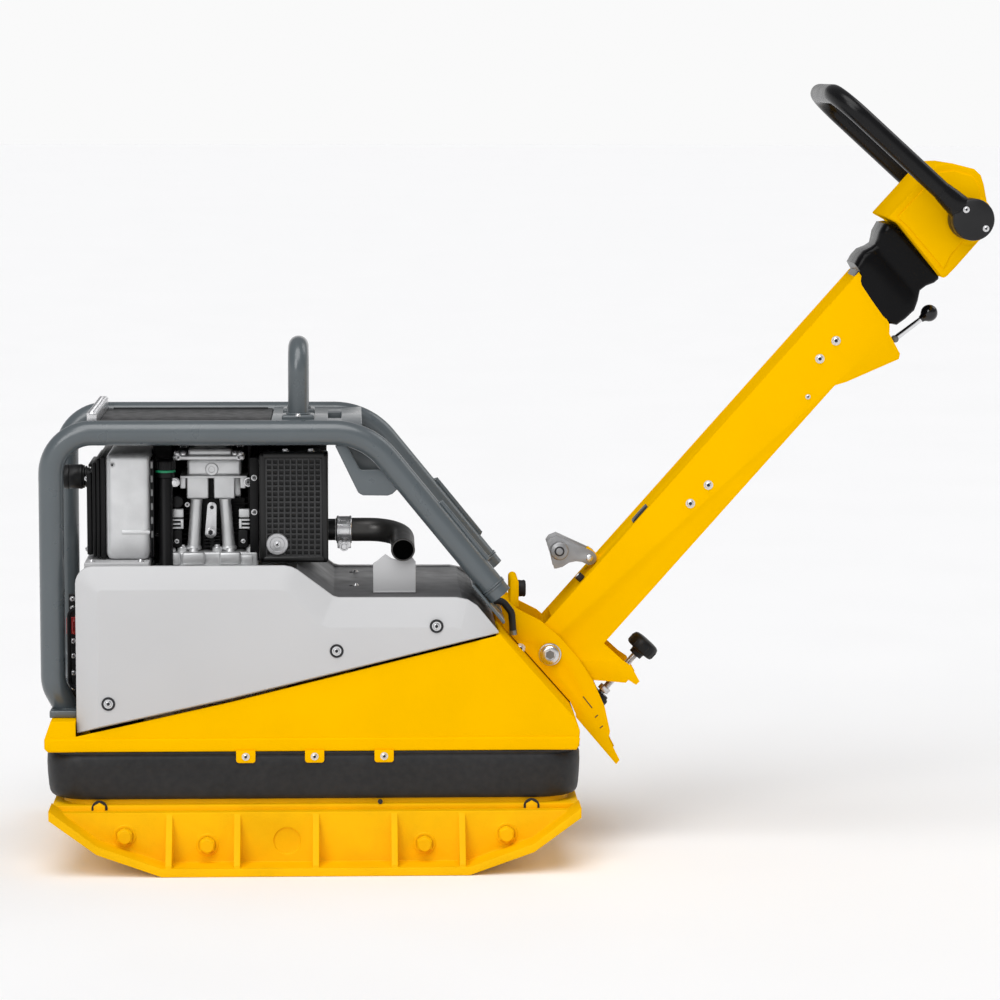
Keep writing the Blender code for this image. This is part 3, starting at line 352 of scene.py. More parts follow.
class Shape:
    """Solids gathered into one piece, each with one of its materials."""

    def __init__(self, *materials):
        self.bm = bmesh.new()
        self.materials = materials

    def take(self, part, mat=0):
        for face in part.faces:
            face.material_index = mat
        mesh = bpy.data.meshes.new("part")
        part.to_mesh(mesh)
        part.free()
        self.bm.from_mesh(mesh)
        bpy.data.meshes.remove(mesh)
        return self

    def box(self, low, high, mat=0, bevel=0.0, segments=3, turn=None):
        low, high = (Vector(corner) for corner in zip(*map(sorted, zip(low, high))))
        bm = bmesh.new()
        bmesh.ops.create_cube(bm, size=1.0)
        bmesh.ops.scale(bm, vec=high - low, verts=bm.verts)
        bmesh.ops.translate(bm, vec=(low + high) / 2, verts=bm.verts)
        round_edges(bm, bevel, segments)
        if turn:
            bmesh.ops.transform(bm, matrix=turn, verts=bm.verts)
        return self.take(bm, mat)

    def rod(self, start, end, radius, mat=0, end_radius=None, sides=40, bevel=0.0):
        start, end = Vector(start), Vector(end)
        bm = bmesh.new()
        far = radius if end_radius is None else end_radius
        bmesh.ops.create_cone(bm, cap_ends=True, segments=sides, radius1=radius, radius2=far,
                              depth=(end - start).length)
        round_edges(bm, bevel, 2, 40)
        turn = (end - start).to_track_quat("Z", "Y").to_matrix().to_4x4()
        bmesh.ops.transform(bm, matrix=Matrix.Translation((start + end) / 2) @ turn, verts=bm.verts)
        return self.take(bm, mat)

    def lathe(self, profile, centre, axis, mat=0, steps=56):
        """Turns (radius, height) points, listed from the top down the outer side."""
        bm = bmesh.new()
        verts = [bm.verts.new((r, 0, h)) for r, h in profile]
        edges = [bm.edges.new(pair) for pair in zip(verts, verts[1:])]
        bmesh.ops.spin(bm, geom=verts + edges, cent=(0, 0, 0), axis=(0, 0, 1), angle=math.tau,
                       steps=steps, use_merge=True)
        bmesh.ops.remove_doubles(bm, verts=bm.verts, dist=1e-6)
        bmesh.ops.recalc_face_normals(bm, faces=bm.faces)
        turn = Vector(axis).to_track_quat("Z", "Y").to_matrix().to_4x4()
        bmesh.ops.transform(bm, matrix=Matrix.Translation(centre) @ turn, verts=bm.verts)
        return self.take(bm, mat)

    def prism(self, outline, y0, y1, mat=0, bevel=0.0, segments=3, angle=25.0):
        """A flat outline of (x, z) points, given depth from y0 to y1."""
        bm = bmesh.new()
        face = bm.faces.new([bm.verts.new((x, y0, z)) for x, z in outline])
        pushed = bmesh.ops.extrude_face_region(bm, geom=[face])["geom"]
        moved = [v for v in pushed if isinstance(v, bmesh.types.BMVert)]
        bmesh.ops.translate(bm, vec=(0, y1 - y0, 0), verts=moved)
        bmesh.ops.recalc_face_normals(bm, faces=bm.faces)
        round_edges(bm, bevel, segments, angle)
        return self.take(bm, mat)

    def tube(self, path, radius, mat=0, sides=32, closed=False):
        """A round bar along a path; radius is a number or one per point."""
        path = [Vector(p) for p in path]
        radii = radius if isinstance(radius, (list, tuple)) else [radius] * len(path)
        bm = bmesh.new()
        last = len(path) - 1
        normal, rings = None, []
        for i, point in enumerate(path):
            ahead = path[(i + 1) % len(path)] if closed else path[min(i + 1, last)]
            behind = path[i - 1] if closed else path[max(i - 1, 0)]
            tangent = (ahead - behind).normalized()
            if normal is None:
                normal = tangent.orthogonal().normalized()
            normal = (normal - tangent * normal.dot(tangent)).normalized()
            side = tangent.cross(normal)
            angles = [math.tau * k / sides for k in range(sides)]
            rings.append([bm.verts.new(point + (normal * math.cos(a) + side * math.sin(a)) * radii[i])
                          for a in angles])
        pairs = list(zip(rings, rings[1:])) + ([(rings[-1], rings[0])] if closed else [])
        for one, two in pairs:
            for k in range(sides):
                bm.faces.new((one[k], one[(k + 1) % sides], two[(k + 1) % sides], two[k]))
        if not closed:
            bm.faces.new(rings[0][::-1])
            bm.faces.new(rings[-1])
        bmesh.ops.recalc_face_normals(bm, faces=bm.faces)
        return self.take(bm, mat)

    def loft(self, sections, mat=0, bevel=0.0):
        """Skins closed rings of points, one after another, and caps both ends."""
        bm = bmesh.new()
        rings = [[bm.verts.new(p) for p in section] for section in sections]
        for one, two in zip(rings, rings[1:]):
            for k in range(len(one)):
                j = (k + 1) % len(one)
                bm.faces.new((one[k], one[j], two[j], two[k]))
        bm.faces.new(rings[0][::-1])
        bm.faces.new(rings[-1])
        bmesh.ops.recalc_face_normals(bm, faces=bm.faces)
        round_edges(bm, bevel, 2)
        return self.take(bm, mat)

    def screw(self, place, axis, radius, mat=0, dark=1, height=0.004, hexagon=False):
        """A round or hexagonal head with its washer, and a socket darkened with painted shade."""
        place, axis = Vector(place), Vector(axis).normalized()
        self.lathe([(0, 0.0008), (radius * 1.25, 0.0008), (radius * 1.32, 0.0002),
                    (radius * 1.32, -0.001)], place, axis, mat, 32)
        if hexagon:
            self.rod(place, place + axis * height, radius, mat, sides=6, bevel=radius * 0.08)
            return self.lathe([(0, 0.0006), (radius * 0.72, 0.0006), (radius * 0.8, -0.0005)],
                              place + axis * height, axis, mat, 24)
        dome = [(radius * 0.5, height * 0.62), (radius * 0.55, height), (radius * 0.78, height * 0.86),
                (radius * 0.95, height * 0.45), (radius, 0.0)]
        self.lathe([(0, height * 0.5)] + [(radius * 0.5, height * 0.5)] + dome, place, axis, mat, 32)
        # The dark hex on the socket's floor is painted shade.
        return self.rod(place + axis * height * 0.45, place + axis * height * 0.56, radius * 0.48, dark,
                        sides=6)

    def stand_for(self, node, name, crease=40.0):
        """The piece takes a CAD node's place and rides on its body."""
        return self.piece(name, body_of(node), (node,), crease)

    def piece(self, name, body, replaces=(), crease=32.0):
        """Makes the piece, rides it on its body and hides the CAD nodes it stands for."""
        mesh = bpy.data.meshes.new(name)
        self.bm.to_mesh(mesh)
        self.bm.free()
        for mat in self.materials:
            mesh.materials.append(mat)
        mesh.shade_smooth()
        mesh.set_sharp_from_angle(angle=math.radians(crease))
        obj = bpy.data.objects.new(name, mesh)
        bpy.context.scene.collection.objects.link(obj)
        if body:
            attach(obj, body)
        if replaces:
            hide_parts(*replaces)
        return obj


def body_of(node):
    """The name of the body that a CAD node rides on."""
    return frame["nodes"][node]["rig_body"]


def cad_copy(node, width, segments=2, angle=28.0):
    """The CAD node's own solid, its flat faces joined and its edges rounded."""
    bm = bmesh.new()
    bm.from_mesh(frame["nodes"][node].data)
    bmesh.ops.remove_doubles(bm, verts=bm.verts, dist=0.00001)
    bmesh.ops.dissolve_limit(bm, angle_limit=math.radians(1.0), verts=bm.verts, edges=bm.edges)
    round_edges(bm, width, segments, angle)
    return bm


def refined(node, width, segments=2, angle=28.0):
    """A finer piece in place of a CAD node, of the same shape with rounded edges."""
    shape = Shape(MAT[SLOT[node]]).take(cad_copy(node, width, segments, angle))
    return shape.stand_for(node, node + "_shell", crease=32)


def dress_cad_nodes():
    """Gives each CAD node that stays in view its own material."""
    for name, obj in frame["nodes"].items():
        for slot in obj.material_slots:
            slot.material = MAT[SLOT[name]]
        obj.data.shade_smooth()
        obj.data.set_sharp_from_angle(angle=math.radians(32))


# ---- lower mass ------------------------------------------------------------
def base():
    """The sole and its extension plates, with the bolts that hold these on."""
    refined("base_plate", 0.0025)
    for side, name in SIDES:
        refined("extension_plate_" + name, 0.003, 3)
    wall = -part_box("base_plate")[0].y
    face = wall + 0.0223
    for side, name in SIDES:
        marks = Shape(MAT["yellow_cast"], DARK_RING_AND_RECESS_SHADE)
        for x, z in ((-0.325, 0.06), (-0.185, 0.044), (0.185, 0.044), (0.325, 0.06)):
            marks.lathe([(0, 0.014), (0.0105, 0.014), (0.0118, 0.0125)], (x, side * face, z),
                        (0, side, 0), 0, 32)
            marks.lathe([(0.015, 0.001), (0.0182, 0.0012), (0.0195, 0.0003), (0.02, -0.001)],
                        (x, side * face, z), (0, side, 0), 0, 40)
        rim = 0.1025
        for x in (-0.369, 0.369):
            # A dark disc behind each rim bolt: painted shade in its pocket.
            marks.rod((x, side * (wall - 0.002), rim + 0.0005), (x, side * (wall + 0.0012), rim + 0.0005),
                      0.0138, 1)
            marks.rod((x, side * wall, rim), (x, side * (wall + 0.0065), rim), 0.0112, 0, sides=6,
                      bevel=0.001)
        marks.rod((0.1097, side * (wall - 0.002), 0.1125), (0.1097, side * (wall + 0.0008), 0.1125),
                  0.0042, 1, sides=24)
        marks.piece("extension_bolts_" + name, "lower_mass")


# ---- skirt and tray --------------------------------------------------------
def rounded_ring(x0, x1, half_y, radius, z, steps=14, spans=(34, 14)):
    """A closed ring with round corners; spans are the point counts of its long and short sides."""
    corners = ((x1 - radius, half_y - radius, 0), (x0 + radius, half_y - radius, 90),
               (x0 + radius, radius - half_y, 180), (x1 - radius, radius - half_y, 270))
    ring = []
    for i, (cx, cy, start) in enumerate(corners):
        turned = arc(cx, cy, radius, start, start + 90, steps)
        nx, ny, beyond = corners[(i + 1) % 4]
        end, after = turned[-1], arc(nx, ny, radius, beyond, beyond + 90, steps)[0]
        count = spans[i % 2]
        ring += turned[:-1]
        ring += [(end[0] + (after[0] - end[0]) * k / count, end[1] + (after[1] - end[1]) * k / count)
                 for k in range(count)]
    return [Vector((x, y, z)) for x, y in ring]


def skirt():
    """Sheet-rubber belt, tucked in below and dented where it is clamped above."""
    low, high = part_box("rubber_skirt")
    x0, x1, half, height = low.x, high.x, high.y, high.z - low.z
    # Each level is a share of the height, from the top, and how far the belt lies in there.
    levels = ((0.0, 0.0004), (0.012, 0.0), (0.035, 0.0002), (0.06, 0.0024), (0.08, 0.0034),
              (0.11, 0.0024), (0.15, 0.0004), (0.3, 0.0), (0.55, 0.0006), (0.78, 0.0018),
              (0.9, 0.003), (0.955, 0.0046), (0.985, 0.0064), (1.0, 0.0088))
    dent_x, dent_reach, dent_share, dent_depth = -0.22, 0.14, 0.3, 0.004
    rings = []
    for share, inset in levels:
        ring = rounded_ring(x0 + inset * 1.4, x1 - inset * 1.2, half - inset, 0.065, high.z - share * height)
        for point in ring:
            slump = math.exp(-((share - dent_share) / 0.09) ** 2) * dent_depth
            from_dent = min(1.0, abs(point.x - dent_x) / dent_reach)
            reach = math.cos(from_dent * math.pi / 2)
            ripple = 0.0004 * math.sin(point.x * 38.0 + share * 4.0)
            flat = 1.0 if abs(point.y) > half - 0.02 else 0.0
            point.y -= math.copysign((slump * reach + ripple) * flat, point.y)
        rings.append(ring)
    thick, half_long = 0.0065, 0.45
    inner = [[Vector((p.x * (1 - thick / half_long), p.y * (1 - thick / half), p.z)) for p in ring]
             for ring in (rings[-1], rings[0])]
    shape = Shape(MAT["skirt_rubber"])
    bm = bmesh.new()
    skins = [[bm.verts.new(p) for p in ring] for ring in rings + inner]
    skins.append(skins[0])
    for one, two in zip(skins, skins[1:]):
        for k in range(len(one)):
            j = (k + 1) % len(one)
            bm.faces.new((one[k], one[j], two[j], two[k]))
    bmesh.ops.recalc_face_normals(bm, faces=bm.faces)
    shape.take(bm).stand_for("rubber_skirt", "skirt_rubber_belt", crease=60)


def skirt_clips():
    """Three bent clips on each side, with their screws, that hold the skirt."""
    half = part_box("rubber_skirt")[1].y
    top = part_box("rubber_skirt")[1].z + 0.003
    tall, wide = 0.0215, 0.0165
    for side, name in SIDES:
        shape = Shape(MAT["yellow_paint"], BOLT, DARK_RING_AND_RECESS_SHADE)
        for x in (-0.1194, -0.0021, 0.1165):
            outline = [(x - wide, top), (x - wide, top - tall + 0.005)]
            outline += arc(x - wide + 0.005, top - tall + 0.005, 0.005, 180, 270, 5)[1:]
            outline += arc(x + wide - 0.005, top - tall + 0.005, 0.005, 270, 360, 5)
            outline += [(x + wide, top)]
            shape.prism(outline, side * (half - 0.002), side * (half + 0.0035), 0, bevel=0.0012, segments=2)
            shape.screw((x, side * (half + 0.0034), top - 0.0105), (0, side, 0), 0.0052, 1, 2)
        shape.piece("skirt_clips_" + name, "upper_mass")


def tray():
    """The yellow upper frame, with the folded hem along its lower edges."""
    refined("upper_frame", 0.0022, 3)
    low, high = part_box("upper_frame")
    rise = 0.0235
    for side, name in SIDES:
        outer = side * (high.y + 0.0022)
        outline = [(low.x + 0.006, low.z + 0.0004), (low.x + 0.001, low.z + 0.006),
                   (low.x + 0.001, low.z + rise - 0.004), (low.x + 0.005, low.z + rise),
                   (high.x - 0.004, low.z + rise), (high.x, low.z + rise - 0.004),
                   (high.x - 0.002, low.z + 0.006), (high.x - 0.007, low.z + 0.0004)]
        shape = Shape(MAT["yellow_paint"])
        shape.prism(outline, outer - side * 0.006, outer, bevel=0.003, segments=4, angle=60)
        shape.piece("tray_hem_" + name, "upper_mass")


# ---- covers and hood -------------------------------------------------------
def side_covers():
    """Moulded covers: a flat face, a wide shoulder that slopes in, and a turned-in edge."""
    face_y, back_y = -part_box("side_cover_left")[0].y, 0.2006
    edge_y = face_y - 0.0185
    x0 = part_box("side_cover_left")[0].x
    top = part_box("side_cover_left")[1].z
    lift = 0.003
    corner = arc(x0 + 0.03, top - 0.03, 0.03, 180, 90, 6)
    outer = [(x0, 0.2275 + lift * 1.1)] + corner + [
        (-0.052, top), (-0.04, top - 0.0025), (-0.03, top - 0.0075), (0.03, 0.4655), (0.039, 0.463),
        (0.24, 0.4625), (0.26, 0.4585), (0.276, 0.448), (0.3125, 0.4035), (0.3125, 0.3975 + lift),
        (-0.146, 0.285 + lift)]
    inner_corner = arc(x0 + 0.046, top - 0.0465, 0.008, 180, 90, 6)
    inner = [(x0 + 0.038, 0.2445)] + inner_corner + [
        (-0.064, top - 0.0385), (-0.052, top - 0.041), (-0.044, top - 0.046), (0.01, 0.418),
        (0.025, 0.414), (0.235, 0.414), (0.248, 0.411), (0.256, 0.404), (0.268, 0.397),
        (0.272, 0.3955), (-0.144, 0.2945)]
    for side, name in SIDES:
        shape = Shape(MAT["light_grey_cover"], COVER_SHOULDER_LIGHT)
        bm = bmesh.new()
        rings = [[bm.verts.new((x, side * y, z)) for x, z in line] for line, y in
                 ((inner, face_y), (outer, edge_y), (outer, back_y))]
        hem = [Vector((x, side * back_y, z)) for x, z in outer]
        middle = Vector((-0.05, side * back_y, 0.4))
        rings.append([bm.verts.new(p + (middle - p).normalized() * 0.006) for p in hem])
        bm.faces.new(rings[0])
        for level, (one, two) in enumerate(zip(rings, rings[1:])):
            for k in range(len(one)):
                j = (k + 1) % len(one)
                strip = bm.faces.new((one[k], one[j], two[j], two[k]))
                # The shoulder strips take the lighter grey: painted light where they face up and out.
                strip.material_index = int(level == 0)
        bmesh.ops.recalc_face_normals(bm, faces=bm.faces)
        if sum(f.normal.y * f.calc_area() for f in bm.faces) * side < 0:
            bmesh.ops.reverse_faces(bm, faces=bm.faces)
        round_edges(bm, 0.0035, 4, 8)
        shape.take(bm)
        obj = shape.stand_for("side_cover_" + name, "cover_panel_" + name, crease=50)
        shell = obj.modifiers.new("wall", "SOLIDIFY")
        shell.thickness, shell.offset = 0.003, -1.0
        screws = Shape(BOLT, DARK_RING_AND_RECESS_SHADE)
        for x, z in ((-0.352, 0.2845), (0.036, 0.374), (0.206, 0.416)):
            place = Vector((x, side * face_y, z))
            screws.lathe([(0.008, 0.0006), (0.0085, 0.0018), (0.0112, 0.0018), (0.0118, 0.0004),
                          (0.0118, -0.001)], place, (0, side, 0), 1, 40)
            screws.screw(place, (0, side, 0), 0.0062, 0, 1, height=0.0032)
        screws.piece("cover_screws_" + name, "upper_mass")


def hood():
    """The dark sheet behind the muffler, with two screws, and slots drawn as strips of painted shade."""
    refined("rear_hood", 0.001)
    high_deck = 0.4605
    shape = Shape(BOLT, DARK_RING_AND_RECESS_SHADE)
    for y in (0.128, -0.043):
        shape.screw((0.069, y, high_deck), (0, 0, 1), 0.0042, 0, 1)
        # The slots are dark strips of painted shade.
        shape.box((0.058, y - 0.01, high_deck - 0.001), (0.0635, y + 0.01, high_deck + 0.0006), 1,
                  bevel=0.0004)
    shape.piece("hood_fittings", "upper_mass")


# ---- tube frame ------------------------------------------------------------
def tube_route(side):
    """The middle line of a side tube: up from its foot, along the top and down the leg."""
    x0, top, y = -0.449, 0.742, side * 0.175
    leg_top, leg_end = 0.0868, (0.3163, 0.461)
    rise_end = top - 0.15
    foot = [(-0.43, side * 0.15, 0.2672), (x0, y, 0.31), (x0, y, rise_end)]
    front = bent(foot, 0.05, 8)
    crown = bent([(x0, y, rise_end), (x0, y, top), (-0.2, y, top)], 0.07, 16)
    leg = bent([(-0.2, y, top), (leg_top, y, top), (leg_end[0], y, leg_end[1])], 0.118, 16)
    return front + crown[1:] + leg[1:]


def weld_bead(shape, centre, axis, radius, mat=0, thick=0.0022):
    """A slightly lumpy ring of weld."""
    turn = Vector(axis).to_track_quat("Z", "Y").to_matrix()
    path, radii = [], []
    for i in range(72):
        a = math.tau * i / 72
        path.append(Vector(centre) + turn @ Vector((math.cos(a), math.sin(a), 0)) * radius)
        radii.append(thick * (1 + 0.16 * math.sin(i * 2.2)))
    return shape.tube(path, radii, mat, sides=10, closed=True)


def tube_frame():
    """The side tubes with feet, welds, lashing hooks and guide bars, and the tie plate."""
    for side, name in SIDES:
        route = tube_route(side)
        shape = Shape(MAT["frame_grey"])
        shape.tube(route, 0.0212, sides=40)
        shape.box((-0.455, side * 0.11, 0.2538), (-0.407, side * 0.19, 0.266), bevel=0.002)
        weld_bead(shape, (-0.4315, side * 0.152, 0.2668), (0.1, 0, 1), 0.0205)
        hook = [(0.034, 0.72), (0.07, 0.646), (0.0735, 0.639), (0.081, 0.6345), (0.124, 0.634),
                (0.132, 0.637), (0.15, 0.654), (0.13, 0.678), (0.12, 0.6785), (0.0785, 0.678),
                (0.0755, 0.68), (0.053, 0.722)]
        shape.prism(hook, side * 0.1715, side * 0.1785, bevel=0.0016, segments=2)
        slope = (route[-1] - route[-2]).normalized()
        lift = Vector((-slope.z, 0, slope.x))
        low_end = route[-1]
        start, stop = low_end - slope * 0.19, low_end - slope * 0.062
        bar = [start + lift * 0.0235, stop + lift * 0.0235]
        shape.tube([start + lift * 0.019] + bar + [stop + lift * 0.019], 0.0042, sides=16)
        for reach in (0.0, 0.004):
            weld_bead(shape, low_end - slope * (0.018 + reach), slope, 0.0212, thick=0.0016)
        shape.stand_for("frame_tube_" + name, "frame_rail_" + name, crease=45)
    refined("frame_rear_plate", 0.0012)


def top_deck():
    """Black sheet on the rails with a pressed rim and a punched grip strip."""
    low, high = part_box("top_panel")
    shape = Shape(BLACK).take(cad_copy("top_panel", 0.0022, 3))
    rim = 0.01
    for y in (low.y + rim, high.y - rim):
        shape.tube([(low.x + 0.03, y, high.z), (high.x - 0.01, y, high.z)], 0.0022, sides=12)
    shape.stand_for("top_panel", "deck_sheet", crease=32)
    strip = Shape(BOLT, DARK_RING_AND_RECESS_SHADE)
    x0, x1, top = low.x + 0.003, low.x + 0.0205, high.z + 0.019
    strip.box((x0, low.y + 0.002, top - 0.0022), (x1, high.y - 0.002, top), 0, bevel=0.0009)
    strip.box((x0 + 0.0004, low.y + 0.0025, high.z + 0.0003), (x1 - 0.0004, high.y - 0.0025, top - 0.0012), 0,
              bevel=0.0006)
    count = 17
    for i in range(count):
        y = low.y + 0.013 + (high.y - low.y - 0.026) * i / (count - 1)
        strip.lathe([(0, -0.002), (0.0034, -0.002), (0.0042, 0.0026), (0.006, 0.0032), (0.008, 0.0002)],
                    ((x0 + x1) / 2, y, top), (0, 0, 1), 0, 20)
        # The dark discs in the punched holes are painted shade.
        strip.lathe([(0, -0.0016), (0.0033, -0.0016), (0.0034, -0.0022)], ((x0 + x1) / 2, y, top),
                    (0, 0, 1), 1, 20)
        strip.lathe([(0, 0.0006), (0.0026, 0.0005), (0.0034, -0.0006)], (x0, y, high.z + 0.008),
                    (-1, 0, 0), 1, 16)
    strip.piece("grip_strip", "upper_mass")


def lifting():
    """The bridge plate between the tubes, with the lifting eye welded on it."""
    low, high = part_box("lifting_bridge")
    deck = 0.756
    shape = Shape(MAT["frame_grey"], BOLT, DARK_RING_AND_RECESS_SHADE)
    shape.box((low.x, low.y, low.z), (0.0215, high.y, deck), bevel=0.002)
    shape.box((0.0445, low.y, low.z), (high.x, high.y, deck), bevel=0.002)
    for y0, y1 in ((low.y, -0.055), (0.055, high.y)):
        shape.box((0.018, y0, low.z + 0.0004), (0.048, y1, deck - 0.0004), bevel=0.0015)
    bar, half = 0.0175, 0.058
    peak = high.z - bar
    path = bent([(-0.03, -half, deck - 0.004), (-0.03, -half, peak), (-0.03, half, peak),
                 (-0.03, half, deck - 0.004)], 0.045, 16)
    shape.tube(path, bar, sides=36)
    for side in (-1, 1):
        shape.box((-0.058, side * half - 0.026, deck - 0.004), (-0.002, side * half + 0.026, deck + 0.007),
                  bevel=0.003)
        weld_bead(shape, (-0.03, side * half, deck + 0.008), (0, 0, 1), bar + 0.0012)
    shape.screw((-0.03, -half - 0.022, deck + 0.006), (0, 0, 1), 0.0042, 1, 2)
    shape.stand_for("lifting_bridge", "lifting_bracket")


# ---- engine ----------------------------------------------------------------
def blower_casting():
    """The flywheel blower's housing, with a rib on each side and its back plates."""
    low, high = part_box("blower_housing")
    shape = Shape(MAT["cast_aluminium"], BLACK, STEEL_DARK)
    shape.box(low, high, 0, bevel=0.013, segments=5)
    for y in (low.y - 0.0006, high.y + 0.0006):
        shape.box((low.x + 0.027, y - 0.0016, 0.5622), (high.x, y + 0.0016, 0.569), 0, bevel=0.0015)
    for x in (high.x + 0.0002, high.x + 0.0034):
        shape.box((x, low.y + 0.008, low.z + 0.004), (x + 0.0026, high.y - 0.008, high.z - 0.012), 1,
                  bevel=0.001)
    for z in [0.555 + 0.024 * i for i in range(6)]:
        for y in (low.y + 0.0075, high.y - 0.0075):
            shape.box((high.x + 0.001, y - 0.0012, z), (high.x + 0.005, y + 0.0012, z + 0.012), 2,
                      bevel=0.0006)
    for side in (-1, 1):
        y = low.y if side < 0 else high.y
        shape.screw((low.x + 0.012, y, high.z - 0.02), (0, side, 0), 0.004, 0, 1)
    shape.stand_for("blower_housing", "blower_casting")


def air_guide():
    """The stepped and finned shroud that leads air to the blower."""
    low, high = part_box("air_guide")
    shape = Shape(BLACK, DARK_RING_AND_RECESS_SHADE, BOLT)
    layers = ((0.0, 0.0095, 0.01), (0.01, 0.0165, 0.004), (0.017, 0.0235, 0.0015), (0.024, 0.033, 0.0))
    for start, stop, inset in layers:
        shape.box((low.x + start, low.y + inset, low.z + inset * 0.5),
                  (low.x + stop, high.y - inset, high.z - inset * 3), 0, bevel=0.0028)
    fins = 11
    for i in range(fins):
        z = low.z + 0.024 + i * 0.0125
        shape.box((low.x - 0.0022, -0.03, z), (low.x + 0.004, 0.1, z + 0.005), 0, bevel=0.001)
    for y in (low.y + 0.018, high.y - 0.018):
        for z in (low.z + 0.014, high.z - 0.04):
            shape.screw((low.x, y, z), (-1, 0, 0), 0.004, 2, 1)
    shape.stand_for("air_guide", "air_guide_shell")


def air_intake():
    """The round intake on the shroud, as a ribbed neck and a cap."""
    low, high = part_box("air_intake")
    centre = (low + high) / 2
    mouth = Vector((high.x, centre.y, centre.z))
    profile = [(0.0, 0.033), (0.0155, 0.033), (0.017, 0.041), (0.02, 0.0413), (0.021, 0.0396),
               (0.0212, 0.033), (0.0205, 0.0322), (0.0212, 0.0312), (0.0212, 0.01), (0.0198, 0.008),
               (0.015, 0.0066), (0.0135, 0.004), (0.016, 0.002), (0.016, -0.003)]
    shape = Shape(MATTE).lathe(profile, mouth, (-1, 0, 0), 0, 60)
    for x, radius in ((0.003, 0.0185), (0.0075, 0.02), (0.012, 0.0215)):
        shape.lathe([(0.013, 0.0018), (radius, 0.0014), (radius, -0.0014), (0.013, -0.0018)],
                    mouth - Vector((x, 0, 0)), (-1, 0, 0), 0, 48)
    shape.stand_for("air_intake", "intake_cap")


def oil_cap():
    """The fluted filler cap on its green seal."""
    low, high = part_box("oil_filler_cap")
    centre = (low + high) / 2
    radius, half = (high.x - low.x) / 2, (high.z - low.z) / 2
    shape = Shape(BLACK, GREEN)
    shape.lathe([(0, half), (radius * 0.8, half), (radius * 0.93, half - 0.0012), (radius, half - 0.004),
                 (radius, -half + 0.0135), (radius * 0.94, -half + 0.013)], centre, (0, 0, 1), 0, 60)
    for i in range(18):
        a = math.tau * i / 18
        place = centre + Vector((math.cos(a), math.sin(a), 0)) * radius
        shape.tube([place + Vector((0, 0, half - 0.004)), place + Vector((0, 0, -half + 0.015))], 0.0011,
                   sides=8)
    ring = [(radius * 0.97, -half + 0.013), (radius * 1.04, -half + 0.012),
            (radius * 1.04, -half + 0.0092), (radius * 0.95, -half + 0.0086)]
    shape.lathe(ring, centre, (0, 0, 1), 1, 48)
    neck = [(radius * 0.92, -half + 0.009), (radius * 0.92, -half), (0, -half)]
    shape.lathe(neck, centre, (0, 0, 1), 0, 40)
    shape.stand_for("oil_filler_cap", "oil_cap_knob")


def barrel():
    """The cylinder's foot, its fins and core in painted shade, and the nuts that hold it."""
    low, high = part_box("cylinder")
    cast = Shape(MAT["cast_aluminium"], PAINTED_ENGINE_SHADE, BOLT)
    cast.box((low.x, low.y, low.z), (high.x, high.y, low.z + 0.0255), 0, bevel=0.004)
    # Core and fins take the second material: painted shade.
    cast.box((low.x + 0.02, low.y + 0.034, low.z + 0.022), (high.x - 0.024, high.y - 0.018, high.z), 1)
    fins = 9
    for i in range(fins):
        z = low.z + 0.034 + i * 0.0088
        cast.box((low.x + 0.01, low.y + 0.029, z), (high.x - 0.014, high.y - 0.006, z + 0.0028), 1,
                 bevel=0.0008, segments=1)
    for x in (low.x + 0.01, (low.x + high.x) / 2, high.x - 0.012):
        cast.lathe([(0, 0.007), (0.007, 0.007), (0.0085, 0.0055), (0.009, -0.004)],
                   (x, low.y + 0.012, low.z + 0.0255), (0, 0, 1), 0, 32)
        cast.screw((x, low.y + 0.012, low.z + 0.0325), (0, 0, 1), 0.0055, 2, 1, hexagon=True)
    for x in (low.x + 0.014, high.x - 0.034):
        cast.box((x, low.y - 0.001, low.z + 0.002), (x + 0.026, low.y + 0.006, low.z + 0.02), 0,
                 bevel=0.003)
    cast.stand_for("cylinder", "cylinder_casting")


def cylinder_head():
    """The head with its two valve boxes."""
    low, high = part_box("cylinder_head")
    head = Shape(MAT["cast_aluminium"], PAINTED_ENGINE_SHADE, BOLT, DARK_RING_AND_RECESS_SHADE)
    shelf = high.z - 0.0315
    head.box((low.x + 0.012, low.y + 0.006, shelf + 0.003), (high.x - 0.006, high.y - 0.004, high.z), 0,
             bevel=0.006, segments=4)
    head.box((low.x, low.y, shelf), (high.x + 0.004, high.y, shelf + 0.0042), 0, bevel=0.0012)
    head.box((-0.222, -0.04, low.z), (-0.13, 0.06, shelf + 0.002), 0, bevel=0.003)
    for x0, x1 in ((-0.2235, -0.186), (-0.1765, -0.14)):
        head.box((x0, low.y + 0.001, low.z + 0.0006), (x1, -0.028, shelf + 0.002), 0, bevel=0.0026)
    # A dark block in the gap between the valve boxes: painted shade.
    head.box((-0.186, low.y + 0.012, low.z + 0.0006), (-0.1765, -0.028, shelf), 1)
    boss = Vector((-0.18, low.y + 0.0062, high.z - 0.0165))
    head.lathe([(0, 0.0018), (0.0048, 0.0018), (0.0056, 0.003), (0.01, 0.003), (0.0114, 0.0018),
                (0.012, -0.004)], boss, (0, -1, 0), 0, 44)
    for x in (low.x + 0.001, high.x - 0.007):
        head.box((x - 0.001, low.y + 0.001, shelf - 0.018), (x + 0.0085, low.y + 0.014, shelf + 0.001), 0,
                 bevel=0.0015)
    for x in (low.x - 0.008, high.x + 0.006):
        head.screw((x, low.y - 0.003, shelf - 0.0065), (0, -1, 0), 0.0062, 2, 3, height=0.006)
        head.rod((x, low.y - 0.003, shelf - 0.0065), (x, low.y + 0.03, shelf - 0.0065), 0.005, 0)
    head.stand_for("cylinder_head", "head_casting")


